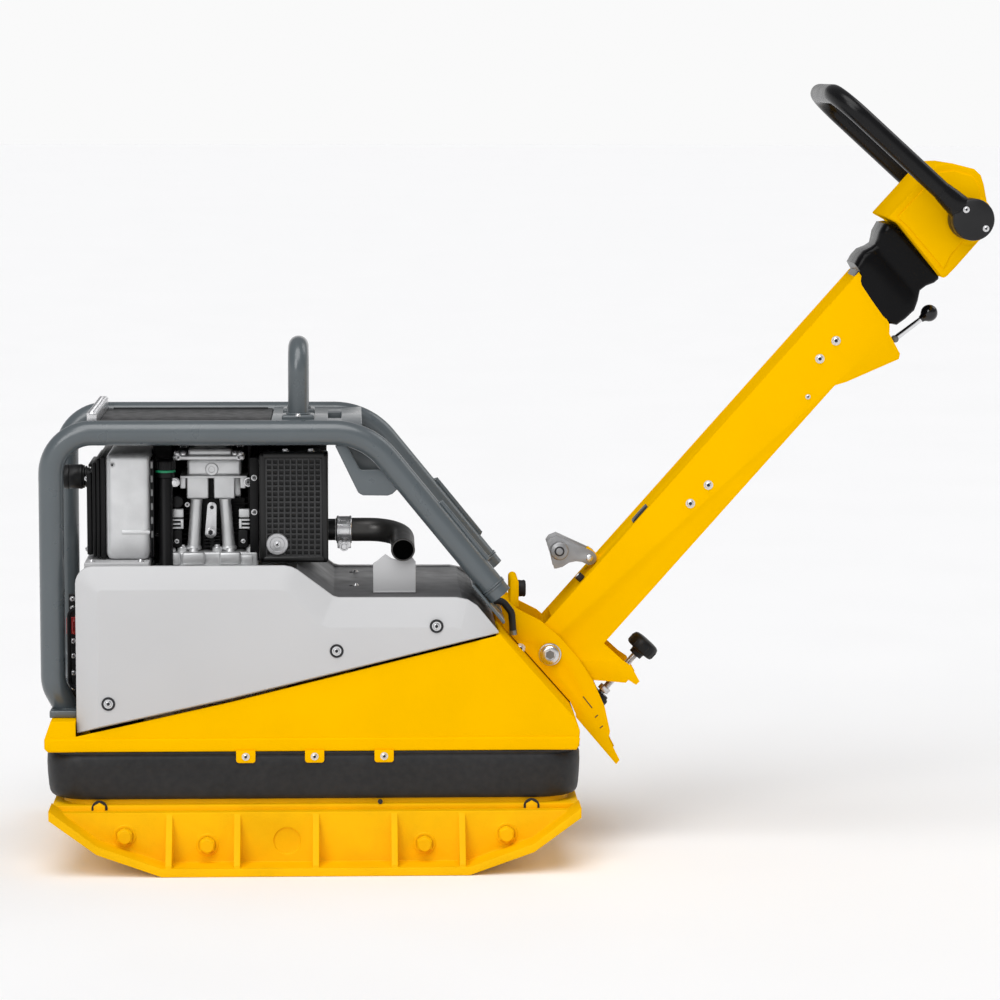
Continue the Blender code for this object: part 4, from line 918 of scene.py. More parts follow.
def rocker_cover():
    """The cast cover on top of the head, with its bolts and ribs."""
    low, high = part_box("rocker_cover")
    cover = Shape(MAT["cast_aluminium"], DARK_RING_AND_RECESS_SHADE, BOLT)
    cover.box((low.x, low.y, low.z), (high.x, high.y, low.z + 0.0085), 0, bevel=0.003)
    cover.box((low.x + 0.026, low.y + 0.008, low.z + 0.004), (high.x - 0.022, high.y - 0.008, high.z), 0,
              bevel=0.006, segments=4)
    for x in (low.x + 0.007, low.x + 0.0175, high.x - 0.007, high.x - 0.0165):
        for y in (low.y + 0.008, high.y - 0.008):
            cover.lathe([(0, 0.0075), (0.003, 0.0075), (0.0045, 0.006), (0.0052, 0.002), (0.0052, -0.006)],
                        (x, y, low.z + 0.0085), (0, 0, 1), 2, 24)
    for x in (low.x + 0.01, high.x - 0.01):
        cover.screw((x, low.y + 0.0005, low.z + 0.0045), (0, -1, 0), 0.0034, 2, 1, height=0.002)
    for i in range(5):
        y = low.y + 0.03 + i * 0.022
        cover.box((low.x + 0.036, y, high.z - 0.001), (high.x - 0.032, y + 0.005, high.z + 0.0012), 0,
                  bevel=0.0008, segments=1)
    cover.stand_for("rocker_cover", "rocker_casting")


def pushrods():
    """The two sleeves that lean towards each other between barrel and head."""
    spread_x = {"pushrod_tube_front": -0.0035, "pushrod_tube_rear": 0.004}
    for node, lean in spread_x.items():
        low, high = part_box(node)
        y, x = (low.y + high.y) / 2, (low.x + high.x) / 2
        foot, head = Vector((x + lean, y, low.z)), Vector((x - lean * 0.6, y, high.z))
        shape = Shape(MAT["cast_aluminium"])
        shape.tube([foot, foot.lerp(head, 0.08), foot.lerp(head, 0.5), foot.lerp(head, 0.95), head],
                   [0.0122, 0.0112, 0.0104, 0.01, 0.0104], 0, 36)
        shape.lathe([(0.008, 0.0045), (0.0125, 0.004), (0.0135, 0.002), (0.0135, -0.0015),
                     (0.008, -0.002)], foot + Vector((0, 0, 0.0022)), (0, 0, 1), 0, 36)
        shape.piece(node + "_sleeve", "upper_mass", (node,), crease=45)


def engine_brackets():
    """Brackets and small parts hung on the engine's near side."""
    silver = Shape(MAT["cast_aluminium"], BLACK, BOLT, PAINTED_ENGINE_SHADE)
    near = -0.08
    for x0, teeth_to_left in ((-0.2475, True), (-0.133, False)):
        x1 = x0 + 0.0185
        z0 = 0.5655
        silver.box((x0, near, 0.585), (x1, near + 0.012, 0.6), 0, bevel=0.0015)
        for i in range(3):
            z = z0 + i * 0.0068
            silver.box((x0, near - 0.001, z), (x1, near + 0.01, z + 0.0036), 0, bevel=0.0008, segments=1)
        spine = (x1 - 0.005, x1) if teeth_to_left else (x0, x0 + 0.005)
        silver.box((spine[0], near - 0.0014, z0), (spine[1], near + 0.01, z0 + 0.0172), 0, bevel=0.001)
        silver.box((x0 - 0.001, near, 0.533), (x1 - 0.003, near + 0.014, 0.5635), 1, bevel=0.002)
        silver.screw((x0 + 0.007, near, 0.544), (0, -1, 0), 0.003, 2, 1, height=0.002)
    for x, z in ((-0.2602, 0.6494), (-0.2436, 0.6478)):
        silver.screw((x, -0.092, z), (0, -1, 0), 0.0058, 2, 1, height=0.005, hexagon=True)
        silver.rod((x, -0.092, z), (x, -0.06, z), 0.0045, 0, sides=24)
    silver.rod((-0.24, -0.078, 0.612), (-0.24, -0.05, 0.612), 0.0105, 1, bevel=0.0015)
    silver.screw((-0.2223, -0.074, 0.607), (0, -1, 0), 0.0032, 2, 1, height=0.003)
    # Two dark blocks behind the brackets: painted shade.
    silver.box((-0.256, -0.07, 0.53), (-0.248, -0.055, 0.648), 3, bevel=0.001)
    silver.box((-0.196, -0.06, 0.529), (-0.164, -0.04, 0.616), 3)
    ribs = 6
    for i in range(ribs):
        z = 0.5325 + i * 0.0058
        silver.box((-0.1925, -0.074, z), (-0.1665, -0.056, z + 0.003), 1, bevel=0.0008, segments=1)
    silver.rod((-0.1795, -0.069, 0.529), (-0.1795, -0.069, 0.567), 0.0048, 1, sides=24)
    for x0, x1 in ((-0.267, -0.234), (-0.231, -0.192), (-0.167, -0.13)):
        silver.box((x0, -0.094, 0.5035), (x1, -0.06, 0.526), 0, bevel=0.004)
        silver.lathe([(0, 0.006), (0.006, 0.006), (0.0078, 0.004), (0.0082, -0.004)],
                     ((x0 + x1) / 2, -0.078, 0.5262), (0, 0, 1), 0, 28)
    silver.piece("engine_brackets", "upper_mass", crease=40)


def breather_hose():
    """The hose that runs down behind the oil filler."""
    hose = Shape(MAT["hose_rubber"], CLAMP)
    route = bent([(-0.262, -0.07, 0.65), (-0.262, -0.074, 0.6), (-0.268, -0.078, 0.56),
                  (-0.256, -0.08, 0.52)], 0.03, 8)
    hose.tube(route, 0.0105, 0, 28)
    for point in (route[2], route[-3]):
        hose.lathe([(0.0106, 0.003), (0.0116, 0.003), (0.0116, -0.003), (0.0106, -0.003)], point,
                   (0.05, 0.05, 1), 1, 32)
    hose.piece("breather_hose", "upper_mass", crease=50)


def heat_shield():
    """The angled plate between the cylinder and the muffler."""
    plate = Shape(BLACK, BOLT, DARK_RING_AND_RECESS_SHADE)
    plate.box((-0.114, -0.084, 0.51), (-0.0985, -0.076, 0.69), 0, bevel=0.0012)
    for z in (0.6547, 0.5949):
        plate.screw((-0.1065, -0.0842, z), (0, -1, 0), 0.004, 1, 2)
    plate.box((-0.114, -0.08, 0.51), (-0.106, 0.09, 0.69), 0, bevel=0.0012)
    plate.piece("heat_shield_plate", "upper_mass", crease=40)


def engine_deck():
    """The light plate under the blower."""
    deck = Shape(MAT["light_grey_cover"], BOLT, DARK_RING_AND_RECESS_SHADE)
    deck.box((-0.3965, -0.15, 0.5035), (-0.285, 0.15, 0.5165), 0, bevel=0.003)
    for y in (-0.137, 0.137):
        for x in (-0.384, -0.3):
            deck.screw((x, y, 0.5165), (0, 0, 1), 0.0045, 1, 2)
    deck.piece("engine_deck", "upper_mass", crease=40)


def engine_shade_sheets():
    """Painted shade: black sheets that close the view through the engine and stand for its shade."""
    back = Shape(PAINTED_ENGINE_SHADE)
    back.box((-0.2835, -0.03, 0.5), (-0.25, 0.095, 0.725), 0, bevel=0.004)
    back.box((-0.118, -0.05, 0.5), (-0.114, 0.095, 0.725), 0, bevel=0.001)
    back.box((-0.2835, 0.085, 0.5), (0.018, 0.095, 0.73), 0, bevel=0.003)
    back.box((-0.25, -0.025, 0.53), (-0.118, -0.018, 0.615), 0, bevel=0.001)
    back.box((-0.335, -0.06, 0.725), (0.018, 0.095, 0.734), 0, bevel=0.002)
    back.piece("engine_shade_sheets", "upper_mass", crease=40)


def stop_lever():
    """A flat lever on its pivot."""
    low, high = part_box("stop_lever")
    x, z = -0.182, 0.56
    outline = arc(x, z, 0.0105, 200, 340, 10) + arc(x + 0.0025, high.z - 0.0085, 0.008, 0, 180, 14)
    shape = Shape(MAT["machined_steel"], DARK_RING_AND_RECESS_SHADE)
    shape.prism(outline, low.y + 0.0025, low.y + 0.0068, 0, bevel=0.0008, segments=2)
    shape.rod((x, low.y + 0.0005, z), (x, high.y, z), 0.008, 0, bevel=0.0008)
    # The dark hex and disc are painted shade in the pivot's socket and the lever's hole.
    shape.rod((x, low.y, z), (x, low.y + 0.002, z), 0.0045, 1, sides=6)
    shape.rod((x + 0.0025, low.y + 0.0022, high.z - 0.0095), (x + 0.0025, low.y + 0.007, high.z - 0.0095),
              0.0034, 1, sides=24)
    shape.stand_for("stop_lever", "stop_lever_plate")


def muffler_and_guard():
    """The muffler, and the box with a punched front that guards it."""
    refined("muffler", 0.0, angle=60)
    low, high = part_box("muffler_guard")
    shape = Shape(MAT["black_heatproof"], MAT["zinc_sheet"], BOLT, DARK_RING_AND_RECESS_SHADE, GUARD_GRID_HIGHLIGHT)
    front = low.y
    frame_w = 0.0125
    x0, x1, z0, z1 = low.x + frame_w, high.x - frame_w, low.z + frame_w, high.z - frame_w
    shape.box((low.x, front, low.z), (high.x, high.y, low.z + frame_w), 0, bevel=0.005, segments=4)
    shape.box((low.x, front, high.z - frame_w), (high.x, high.y, high.z), 0, bevel=0.005, segments=4)
    shape.box((low.x, front, low.z), (low.x + frame_w, high.y, high.z), 0, bevel=0.005, segments=4)
    shape.box((high.x - frame_w, front, low.z), (high.x, high.y, high.z), 0, bevel=0.005, segments=4)
    # The grid bars take the lighter black: painted highlight.
    columns, rows, bar = 9, 18, 0.0017
    for i in range(columns + 1):
        x = x0 + (x1 - x0) * i / columns
        shape.box((x - bar, front + 0.001, z0 - 0.001), (x + bar, front + 0.003, z1 + 0.001), 4,
                  bevel=0.0005, segments=1)
    for k in range(rows + 1):
        z = z0 + (z1 - z0) * k / rows
        shape.box((x0 - 0.001, front + 0.0014, z - bar), (x1 + 0.001, front + 0.0034, z + bar), 4,
                  bevel=0.0005, segments=1)
    # A black sheet behind the grid: painted shade seen through its holes.
    shape.box((x0 - 0.002, front + 0.0085, z0 - 0.002), (x1 + 0.002, front + 0.0105, z1 + 0.002), 0)
    disc = Vector((x0 + 0.0185, front + 0.0006, z0 + 0.02))
    shape.lathe([(0, 0.003), (0.006, 0.003), (0.0068, 0.0016), (0.012, 0.0012), (0.013, 0.0022),
                 (0.0178, 0.002), (0.019, 0.0006), (0.019, -0.003)], disc, (0, -1, 0), 1, 56)
    shape.screw(disc + Vector((0, -0.003, 0)), (0, -1, 0), 0.004, 2, 3, height=0.0022)
    shape.screw((low.x + 0.045, low.y + 0.014, high.z), (0, 0, 1), 0.0048, 2, 3, hexagon=True)
    shape.screw((high.x - 0.03, low.y + 0.014, high.z), (0, 0, 1), 0.0048, 2, 3, hexagon=True)
    shape.stand_for("muffler_guard", "guard_box")


def exhaust_bend():
    """The pipe from the muffler, bent towards the left side; its mouth is closed just inside by a near-black
    disc of soot and painted shade.
    """
    y0, z0 = -0.035, 0.558
    route = bent([(0.0343, y0, z0), (0.15, y0, z0), (0.15, -0.158, 0.538)], 0.06, 20)
    outer, bore = PIPE_RADIUS, 0.0178
    shape = Shape(MAT["exhaust_steel"], SOOT_AND_BORE_SHADE)
    shape.tube(route, outer, 0, 44)
    mouth = route[-1]
    way = (route[-1] - route[-2]).normalized()
    shape.lathe([(bore, 0.0008), (outer - 0.0004, 0.0008), (outer + 0.0002, -0.0006), (outer, -0.003)],
                mouth, way, 0, 48)
    # Near-black disc just inside the mouth: the bore's soot and its painted shade.
    shape.lathe([(bore, 0.0007), (bore, 0.0002), (0, 0.0002)], mouth, way, 1, 48)
    weld_bead(shape, route[0] + Vector((0.006, 0, 0)), (1, 0, 0), outer, 0, 0.0016)
    shape.stand_for("exhaust_pipe", "exhaust_bend", crease=45)


def exhaust_clamp():
    """The band round the pipe, with its ears and screw."""
    low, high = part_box("exhaust_clamp")
    outer = PIPE_RADIUS
    centre = (low + high) / 2
    half = (high.x - low.x) / 2 + 0.0035
    band = Shape(CLAMP, BOLT, DARK_RING_AND_RECESS_SHADE)
    band.lathe([(outer + 0.0002, half), (0.0235, half), (0.0245, half - 0.001), (0.0245, half - 0.0035),
                (0.0236, half - 0.0042), (0.0236, -half + 0.0042), (0.0245, -half + 0.0035),
                (0.0245, -half + 0.001), (0.0235, -half), (outer + 0.0002, -half)], centre, (1, 0, 0), 0, 64)
    ear = Vector((centre.x, centre.y - 0.012, centre.z - 0.0262))
    band.box(ear - Vector((half * 0.9, 0.003, 0.005)), ear + Vector((half * 0.9, 0.003, 0.007)), 0,
             bevel=0.0012)
    band.rod(ear - Vector((0, 0.01, 0.001)), ear + Vector((0, 0.018, -0.001)), 0.0042, 1, sides=24)
    band.screw(ear - Vector((0, 0.01, 0.001)), (0, -1, 0), 0.0062, 1, 2, hexagon=True, height=0.004)
    band.stand_for("exhaust_clamp", "clamp_band")


def exhaust_bracket():
    """The notched sheet that carries the pipe's mouth."""
    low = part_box("exhaust_bracket")[0]
    plate = Shape(MAT["light_grey_cover"], BOLT, DARK_RING_AND_RECESS_SHADE)
    outline = [(0.0985, 0.512), (0.108, 0.5185), (0.12, 0.5285), (0.13, 0.521), (0.145, 0.5172),
               (0.156, 0.518), (0.166, 0.523), (0.172, 0.515), (0.172, 0.464), (0.099, 0.464)]
    y_mid = low.y + 0.002
    plate.prism(outline, y_mid - 0.002, y_mid + 0.002, 0, bevel=0.0009, segments=2, angle=50)
    plate.box((0.099, y_mid - 0.002, 0.4612), (0.172, -0.106, 0.4655), 0, bevel=0.0012)
    plate.screw((0.118, -0.122, 0.4655), (0, 0, 1), 0.005, 1, 2)
    plate.screw((0.153, -0.122, 0.4655), (0, 0, 1), 0.005, 1, 2)
    plate.piece("bracket_sheet", "upper_mass", ("exhaust_bracket",), crease=40)


def switch_centre():
    """The height and side place of the battery switch."""
    low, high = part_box("isolator_knob")
    return (low.y + high.y) / 2, (low.z + high.z) / 2


def isolator():
    """The red battery switch with its grip blade."""
    low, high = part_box("isolator_knob")
    x, (y, z) = high.x, switch_centre()
    shape = Shape(MAT["red_plastic"], BLACK)
    shape.lathe([(0, 0.03), (0.012, 0.03), (0.014, 0.0285), (0.0145, 0.026), (0.0135, 0.012),
                 (0.0145, 0.008), (0.0145, 0.0)], (x, y, z), (-1, 0, 0), 0, 48)
    for i in range(10):
        a = math.tau * i / 10
        side = Vector((0, math.cos(a), math.sin(a))) * 0.014
        shape.tube([Vector((x - 0.012, y, z)) + side, Vector((x - 0.027, y, z)) + side], 0.0014, sides=8)
    shape.box((low.x, y - 0.0038, low.z), (x - 0.026, y + 0.0038, high.z), 0, bevel=0.0015)
    shape.stand_for("isolator_knob", "isolator_switch")


def battery():
    """Its ribbed case with the switch's seat, level with the switch."""
    low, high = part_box("battery")
    y, z = switch_centre()
    shape = Shape(BLACK, MAT["light_grey_cover"], BOLT, DARK_RING_AND_RECESS_SHADE).take(cad_copy("battery", 0.003, 3))
    for dz in (-0.045, 0.045):
        shape.box((low.x - 0.0035, y - 0.022, z + dz - 0.01), (low.x + 0.001, y + 0.022, z + dz + 0.01), 1,
                  bevel=0.0015)
    shape.box((low.x - 0.003, y - 0.026, z - 0.03), (low.x + 0.001, y + 0.026, z + 0.03), 1, bevel=0.0015)
    for dy in (-0.021, 0.021):
        shape.screw((low.x - 0.003, y + dy, z - 0.024), (-1, 0, 0), 0.003, 2, 3, height=0.002)
        shape.screw((low.x - 0.003, y + dy, z + 0.024), (-1, 0, 0), 0.003, 2, 3, height=0.002)
    for i in range(5):
        zz = low.z + 0.03 + i * 0.036
        shape.box((low.x - 0.0016, low.y + 0.08, zz), (low.x + 0.001, high.y - 0.012, zz + 0.016), 0,
                  bevel=0.0012)
    shape.stand_for("battery", "battery_case")


def battery_loom():
    """A black bracket beside the switch, with its screws and two cables."""
    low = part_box("battery")[0]
    y, z = switch_centre()
    loom = Shape(MAT["hose_rubber"], MATTE, BOLT, DARK_RING_AND_RECESS_SHADE)
    front = low.x - 0.034
    loom.box((low.x - 0.038, y + 0.02, z - 0.135), (low.x + 0.001, y + 0.03, z + 0.052), 1, bevel=0.002)
    for dz in (-0.112, -0.086, -0.056, -0.03, 0.028, 0.044):
        loom.screw((low.x - 0.031, y + 0.02, z + dz), (0, -1, 0), 0.0036, 2, 3, height=0.003)
    for dy, top in ((-0.026, 0.05), (-0.019, 0.046)):
        route = bent([(low.x, y + dy, z - 0.115), (front, y + dy, z - 0.1), (front, y + dy, z + 0.026),
                      (low.x, y + dy, z + top)], 0.012, 8)
        loom.tube(route, 0.0036, 0, 16)
    loom.piece("battery_loom", "upper_mass", crease=45)


# ---- drawbar ---------------------------------------------------------------
def console():
    """The drawbar's yellow hinge block, and the plate that the latch hooks on."""
    refined("drawbar_console", 0.0016)
    refined("parking_plate", 0.001, 2, 40)


def bumper():
    """The rubber disc that the drawbar rests on."""
    low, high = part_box("park_bumper")
    centre = (low + high) / 2
    half = (high.x - low.x) / 2
    shape = Shape(MAT["buffer_rubber"])
    shape.lathe([(0, half), (0.0118, half), (0.0138, half - 0.0008), (0.015, half - 0.003),
                 (0.0142, 0.0), (0.015, -half + 0.002), (0.015, -half)], centre, (1, 0, 0), 0, 48)
    shape.stand_for("park_bumper", "bumper_disc")


def pivot_bolt():
    """The drawbar's hinge bolt, with a socket head on each side."""
    low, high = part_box("pivot_bolt")
    bolt = Shape(MAT["machined_steel"], DARK_RING_AND_RECESS_SHADE, BOLT, STEEL_DARK)
    bolt.rod((PIVOT.x, low.y + 0.006, PIVOT.z), (PIVOT.x, high.y - 0.006, PIVOT.z), 0.012, 0)
    for side in (-1, 1):
        seat = (high.y - 0.0108) * side
        bolt.lathe([(0, 0.006), (0.0085, 0.006), (0.009, 0.011), (0.012, 0.0108), (0.0152, 0.009),
                    (0.0172, 0.0058), (0.018, 0.0016), (0.0196, 0.0012), (0.02, 0.0)],
                   (PIVOT.x, seat, PIVOT.z), (0, side, 0), 0, 56)
        bolt.rod((PIVOT.x, seat, PIVOT.z), (PIVOT.x, seat + side * 0.0068, PIVOT.z), 0.008, 3, sides=6)
    bolt.stand_for("pivot_bolt", "pivot_screw")


def console_seams():
    """The console's side screw and the short slots near its tail."""
    seams = Shape(BOLT, DARK_RING_AND_RECESS_SHADE)
    cheek = -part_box("drawbar_console")[0].y
    for side in (-1, 1):
        seams.screw((0.3565, side * cheek, 0.352), (0, side, 0), 0.0066, 0, 1, height=0.005)
        for x, z, long, tilt in ((0.4745, 0.256, 0.026, -52), (0.49, 0.231, 0.007, 40),
                                 (0.499, 0.212, 0.007, 40)):
            turn = Matrix.Translation((x, side * cheek, z)) @ Matrix.Rotation(math.radians(-tilt), 4, "Y")
            seams.box((-long / 2, -0.0006, -0.0009), (long / 2, 0.0006, 0.0009), 1, bevel=0.0004,
                      segments=1, turn=turn)
    seams.piece("console_seams", "upper_mass")


def beam():
    """The drawbar's box beam with its screws, nut and small window."""
    refined("drawbar_beam", 0.0014)
    top = 0.041
    extras = Shape(BOLT, DARK_RING_AND_RECESS_SHADE, BLACK)
    for side in (-1, 1):
        face = side * 0.06
        for u, w in ((0.74, -0.009), (0.698, -0.009), (0.405, -0.011), (0.36, -0.009)):
            extras.screw(on_bar(u, w, face), (0, side, 0), 0.0064, 0, 1, height=0.0035)
        extras.screw(on_bar(0.635, -0.038, face), (0, side, 0), 0.0036, 0, 1, height=0.002)
    for u in (0.177, 0.337):
        extras.screw(on_bar(u, -0.06, -0.03), -ABOVE, 0.0036, 0, 1)
    turn = Matrix.Translation(PIVOT) @ Matrix.Rotation(-math.atan2(ALONG.z, ALONG.x), 4, "Y")
    extras.box((0.268, -0.043, top - 0.001), (0.306, -0.006, top + 0.0012), 1, bevel=0.001, turn=turn)
    extras.box((0.271, -0.04, top), (0.303, -0.009, top + 0.002), 2, bevel=0.001, turn=turn)
    extras.rod(on_bar(0.134, top, -0.036), on_bar(0.134, top + 0.011, -0.036), 0.0072, 1, sides=6,
               bevel=0.0006)
    extras.lathe([(0, 0.0006), (0.004, 0.0006), (0.0046, -0.0004)], on_bar(0.134, top + 0.011, -0.036),
                 ABOVE, 0, 24)
    extras.piece("beam_fittings", "drawbar", crease=40)


def stop_screw():
    """The threaded spindle with its knob, and the rubber foot below it."""
    low_u, w = 0.0035, -0.124
    shape = Shape(MAT["machined_steel"], MATTE)
    start, end = on_bar(low_u, w), on_bar(0.098, w)
    pitch, core, crest = 0.002, 0.0052, 0.0061
    count = int((end - start).length / pitch)
    path, radii = [], []
    for i in range(count * 2 + 1):
        path.append(start + ALONG * (pitch / 2 * i))
        radii.append(core if i % 2 else crest)
    shape.tube(path, radii, 0, 28)
    knob = [(0, 0.018), (0.015, 0.0178), (0.0215, 0.0168), (0.0252, 0.0145), (0.027, 0.01),
            (0.0272, 0.006), (0.0268, -0.004), (0.0255, -0.0062), (0.0225, -0.0072), (0.0135, -0.0076),
            (0.0124, -0.01), (0.012, -0.017), (0, -0.017)]
    centre = on_bar(0.11, w)
    shape.lathe(knob, centre, ALONG, 1, 60)
    for i in range(14):
        a = math.tau * i / 14
        out = ABOVE * math.cos(a) + ACROSS * math.sin(a)
        shape.tube([centre + out * 0.0264 + ALONG * 0.009, centre + out * 0.0262 - ALONG * 0.0035],
                   0.0016, 1, 10)
    shape.rod(on_bar(low_u + 0.003, w), on_bar(low_u + 0.013, w), 0.011, 0, sides=6, bevel=0.0008)
    shape.stand_for("stop_screw", "stop_spindle", crease=50)
    foot = Shape(MAT["buffer_rubber"], STEEL_DARK)
    foot.lathe([(0, 0.0118), (0.015, 0.0118), (0.016, 0.0108), (0.0162, 0.008), (0.0188, 0.007),
                (0.02, 0.0045), (0.02, -0.0085), (0.0185, -0.0112), (0, -0.0112)], on_bar(-0.0086, w),
               ALONG, 0, 48)
    foot.lathe([(0, 0.0001), (0.01, 0.0001), (0.0104, -0.001)], on_bar(0.0032, w), ALONG, 1, 32)
    foot.stand_for("stop_foot", "foot_pad", crease=45)


def latch():
    """The zinc hook with its grip tube."""
    shape = Shape(GREY_ZINC, BOLT, DARK_RING_AND_RECESS_SHADE)
    shape.take(cad_copy("transport_latch", 0.0014, 2, 40))
    grip = on_bar(0.1447, 0.104)
    for side in (-1, 1):
        shape.lathe([(0, 0.04), (0.007, 0.04), (0.0085, 0.0388), (0.014, 0.0386), (0.016, 0.037),
                     (0.0164, 0.03)], grip, (0, side, 0), 0, 48)
        # A dark disc on each end of the grip: painted shade of the tube's open end.
        shape.lathe([(0, 0.0395), (0.005, 0.0395), (0.0062, 0.0402), (0.008, 0.0402), (0.0088, 0.0392)],
                    grip, (0, side, 0), 2, 36)
        shape.lathe([(0, 0.03), (0.0056, 0.03), (0.0062, 0.029), (0.0062, 0.0265)],
                    on_bar(0.17, 0.055), (0, side, 0), 1, 36)
    shape.stand_for("transport_latch", "latch_hook")


def boot():
    """Rubber bellows between the beam and the head: slanted rounded sections."""
    stations = (((0.845, 0.0405), (0.8215, -0.06), 0.06), ((0.8563, 0.0425), (0.826, -0.064), 0.0615),
                ((0.861, 0.056), (0.831, -0.0725), 0.064), ((0.874, 0.059), (0.849, -0.0765), 0.064),
                ((0.888, 0.059), (0.87, -0.0785), 0.062), ((0.901, 0.053), (0.887, -0.073), 0.054),
                ((0.9106, 0.0505), (0.903, -0.064), 0.05), ((0.92, 0.055), (0.916, -0.066), 0.055),
                ((0.93, 0.0605), (0.929, -0.0725), 0.0605), ((0.947, 0.064), (0.9385, -0.0735), 0.063),
                ((0.956, 0.056), (0.943, -0.07), 0.061))
    sections = []
    for top, foot, half in stations:
        high, low = on_bar(*top), on_bar(*foot)
        middle, up = (high + low) / 2, (high - low) / 2
        ring = []
        for k in range(48):
            a = math.tau * k / 48
            c, s = math.cos(a), math.sin(a)
            squareness = 0.22
            ring.append(middle + ACROSS * half * math.copysign(abs(c) ** squareness, c)
                        + up * math.copysign(abs(s) ** squareness, s))
        sections.append(ring)
    shape = Shape(MAT["boot_rubber"])
    shape.loft(sections)
    shape.stand_for("head_boot", "boot_bellows", crease=55)


def head():
    """The control head, with a raised panel and a hub seat on each side."""
    shape = Shape(MAT["yellow_plastic"]).take(cad_copy("control_head", 0.001, 2, 30))
    for side in (-1, 1):
        face = side * 0.1
        panel = [(1.003, 1.106), (1.075, 1.1835), (1.1, 1.186), (1.132, 1.177), (1.143, 1.16),
                 (1.1475, 1.133), (1.135, 1.088), (1.096, 1.04), (1.085, 1.016), (1.023, 1.088)]
        shape.prism(panel, face - side * 0.004, face + side * 0.003, 0, bevel=0.0022)
        shape.lathe([(0, 0.0018), (0.04, 0.0018), (0.043, 0.0004), (0.043, -0.003)],
                    (HUB.x, face, HUB.z), (0, side, 0), 0, 64)
    shape.stand_for("control_head", "head_housing", crease=35)


def bow():
    """The handle bow, with a hub disc and a tapered neck at each end."""
    tilt, length, half, radius = math.radians(137.8), 0.317, 0.145, 0.0165
    way = Vector((math.cos(tilt), 0, math.sin(tilt)))
    far = HUB + way * length
    near = HUB + way * 0.03
    wide = ACROSS * half
    path = bent([near - wide, far - wide, far + wide, near + wide], 0.06, 20)
    shape = Shape(MAT["bow_grip"], BOLT, FASCIA, DARK_RING_AND_RECESS_SHADE)
    shape.tube(path, radius, 0, 44)
    for side in (-1, 1):
        shape.lathe([(0, 0.13), (0.0342, 0.13), (0.0356, 0.129), (0.036, 0.1275), (0.036, 0.103),
                     (0.035, 0.1012), (0, 0.1012)], HUB, (0, side, 0), 2, 72)
        shape.lathe([(0, 0.1615), (0.033, 0.1615), (0.0352, 0.16), (0.036, 0.1575), (0.036, 0.132),
                     (0.035, 0.1302)], HUB, (0, side, 0), 2, 72)
        start = HUB + ACROSS * side * half
        shape.tube([start + way * 0.029, start + way * 0.031, start + way * 0.05, start + way * 0.072],
                   [0.0205, 0.0218, 0.02, 0.0172], 0, 40)
        for reach in (-1, 1):
            spot = Vector((-0.0136, 0, 0.0172)) if reach < 0 else Vector((0.0207, 0, -0.015))
            place = HUB + ACROSS * side * 0.1615 + spot
            shape.screw(place, (0, side, 0), 0.0044, 1, 3, height=0.0022)
    shape.rod(HUB - ACROSS * 0.12, HUB + ACROSS * 0.12, 0.0155, 0)
    shape.stand_for("handle_bow", "bow_tube", crease=45)


def throttle():
    """The chromed lever with its black ball."""
    base = Vector(JOINT["throttle_turn"]["pos_m"])
    tip = Vector((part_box("throttle_lever")[1].x - 0.015, 0.0, 0.9338))
    shape = Shape(LEVER_CHROME, BALL, STEEL_DARK)
    shape.tube([base, base.lerp(tip, 0.5), tip], [0.0052, 0.0048, 0.0042], 0, 24)
    way = (tip - base).normalized()
    shape.lathe([(0, 0.015), (0.004, 0.0145), (0.0078, 0.0128), (0.0112, 0.01), (0.0136, 0.0063),
                 (0.0148, 0.0022), (0.0149, -0.002), (0.0138, -0.006), (0.0114, -0.0098),
                 (0.008, -0.013), (0.0062, -0.016), (0.006, -0.0185), (0, -0.0185)], tip, way, 1, 48)
    shape.rod(base - ACROSS * 0.009, base + ACROSS * 0.009, 0.006, 2, bevel=0.001)
    shape.stand_for("throttle_lever", "throttle_arm", crease=45)


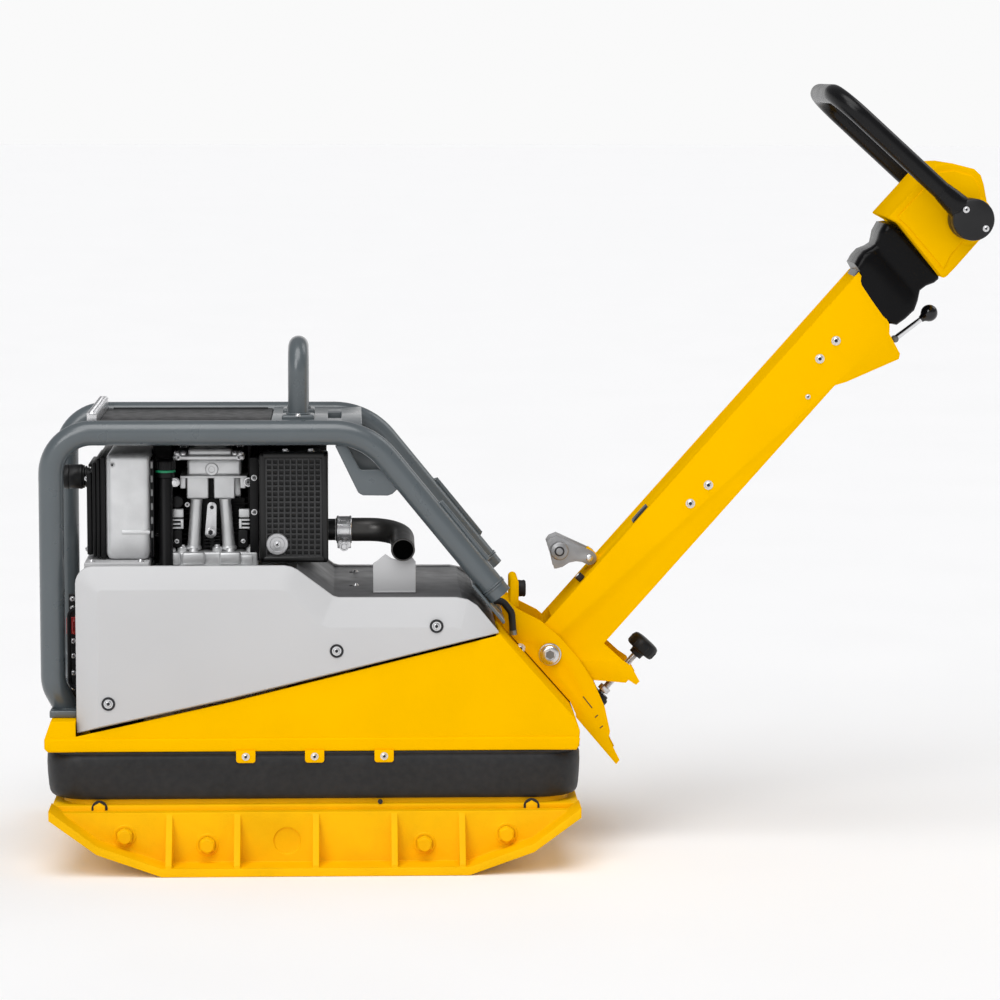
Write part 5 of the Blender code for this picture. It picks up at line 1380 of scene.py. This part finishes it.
def hose():
    """The bend of hydraulic hose between the frame and the console."""
    route = bent([(0.2985, -0.088, 0.43), (0.317, -0.088, 0.448), (0.34, -0.088, 0.418),
                  (0.343, -0.088, 0.379)], 0.018, 14)
    shape = Shape(MAT["hose_rubber"], STEEL_DARK)
    shape.tube(route, 0.0062, 0, 28)
    for i in (0, len(route) - 1):
        ahead = route[i + 1] if i == 0 else route[i - 1]
        way = (ahead - route[i]).normalized()
        shape.tube([route[i], route[i] + way * 0.008], 0.007, 1, 28)
    shape.stand_for("control_hose", "hose_line", crease=45)


def springy_rubber():
    """The buffers and the drive belt, as pieces on no body, which stay put as the upper mass floats on the
    lower one.
    """
    for place in ("front_left", "front_right", "rear_left", "rear_right"):
        node = "buffer_" + place
        shape = Shape(MAT[SLOT[node]])
        shape.take(cad_copy(node, 0.001))
        rubber = shape.piece(node + "_rubber", None, (node,))
        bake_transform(rubber)
    shape = Shape(MAT[SLOT["drive_belt"]])
    shape.take(cad_copy("drive_belt", 0.0008))
    belt = shape.piece("belt_loop", None, ("drive_belt",))
    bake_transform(belt)


def hidden_parts():
    """Finer shells for what only shows through the frame's windows."""
    for node, width in (("fuel_tank", 0.0), ("exciter_housing", 0.0015)):
        refined(node, width)
    block = Shape(MAT["cast_aluminium"], BLACK)
    block.take(cad_copy("engine_block", 0.002, 2))
    for face in block.bm.faces:
        face.material_index = int(face.calc_center_median().z > 0.501)
    block.stand_for("engine_block", "engine_block_shell", crease=32)


for build in (camera, studio, floor, dress_cad_nodes, base, skirt, skirt_clips, tray, side_covers, hood,
              tube_frame, top_deck, lifting, blower_casting, air_guide, air_intake, oil_cap, barrel,
              cylinder_head, rocker_cover, pushrods, engine_brackets, breather_hose, heat_shield,
              engine_deck, engine_shade_sheets, stop_lever, muffler_and_guard, exhaust_bend, exhaust_clamp,
              exhaust_bracket, isolator, battery, battery_loom, console, bumper, pivot_bolt,
              console_seams, beam, stop_screw, latch, boot, head, bow, throttle, hose, springy_rubber,
              hidden_parts):
    build()
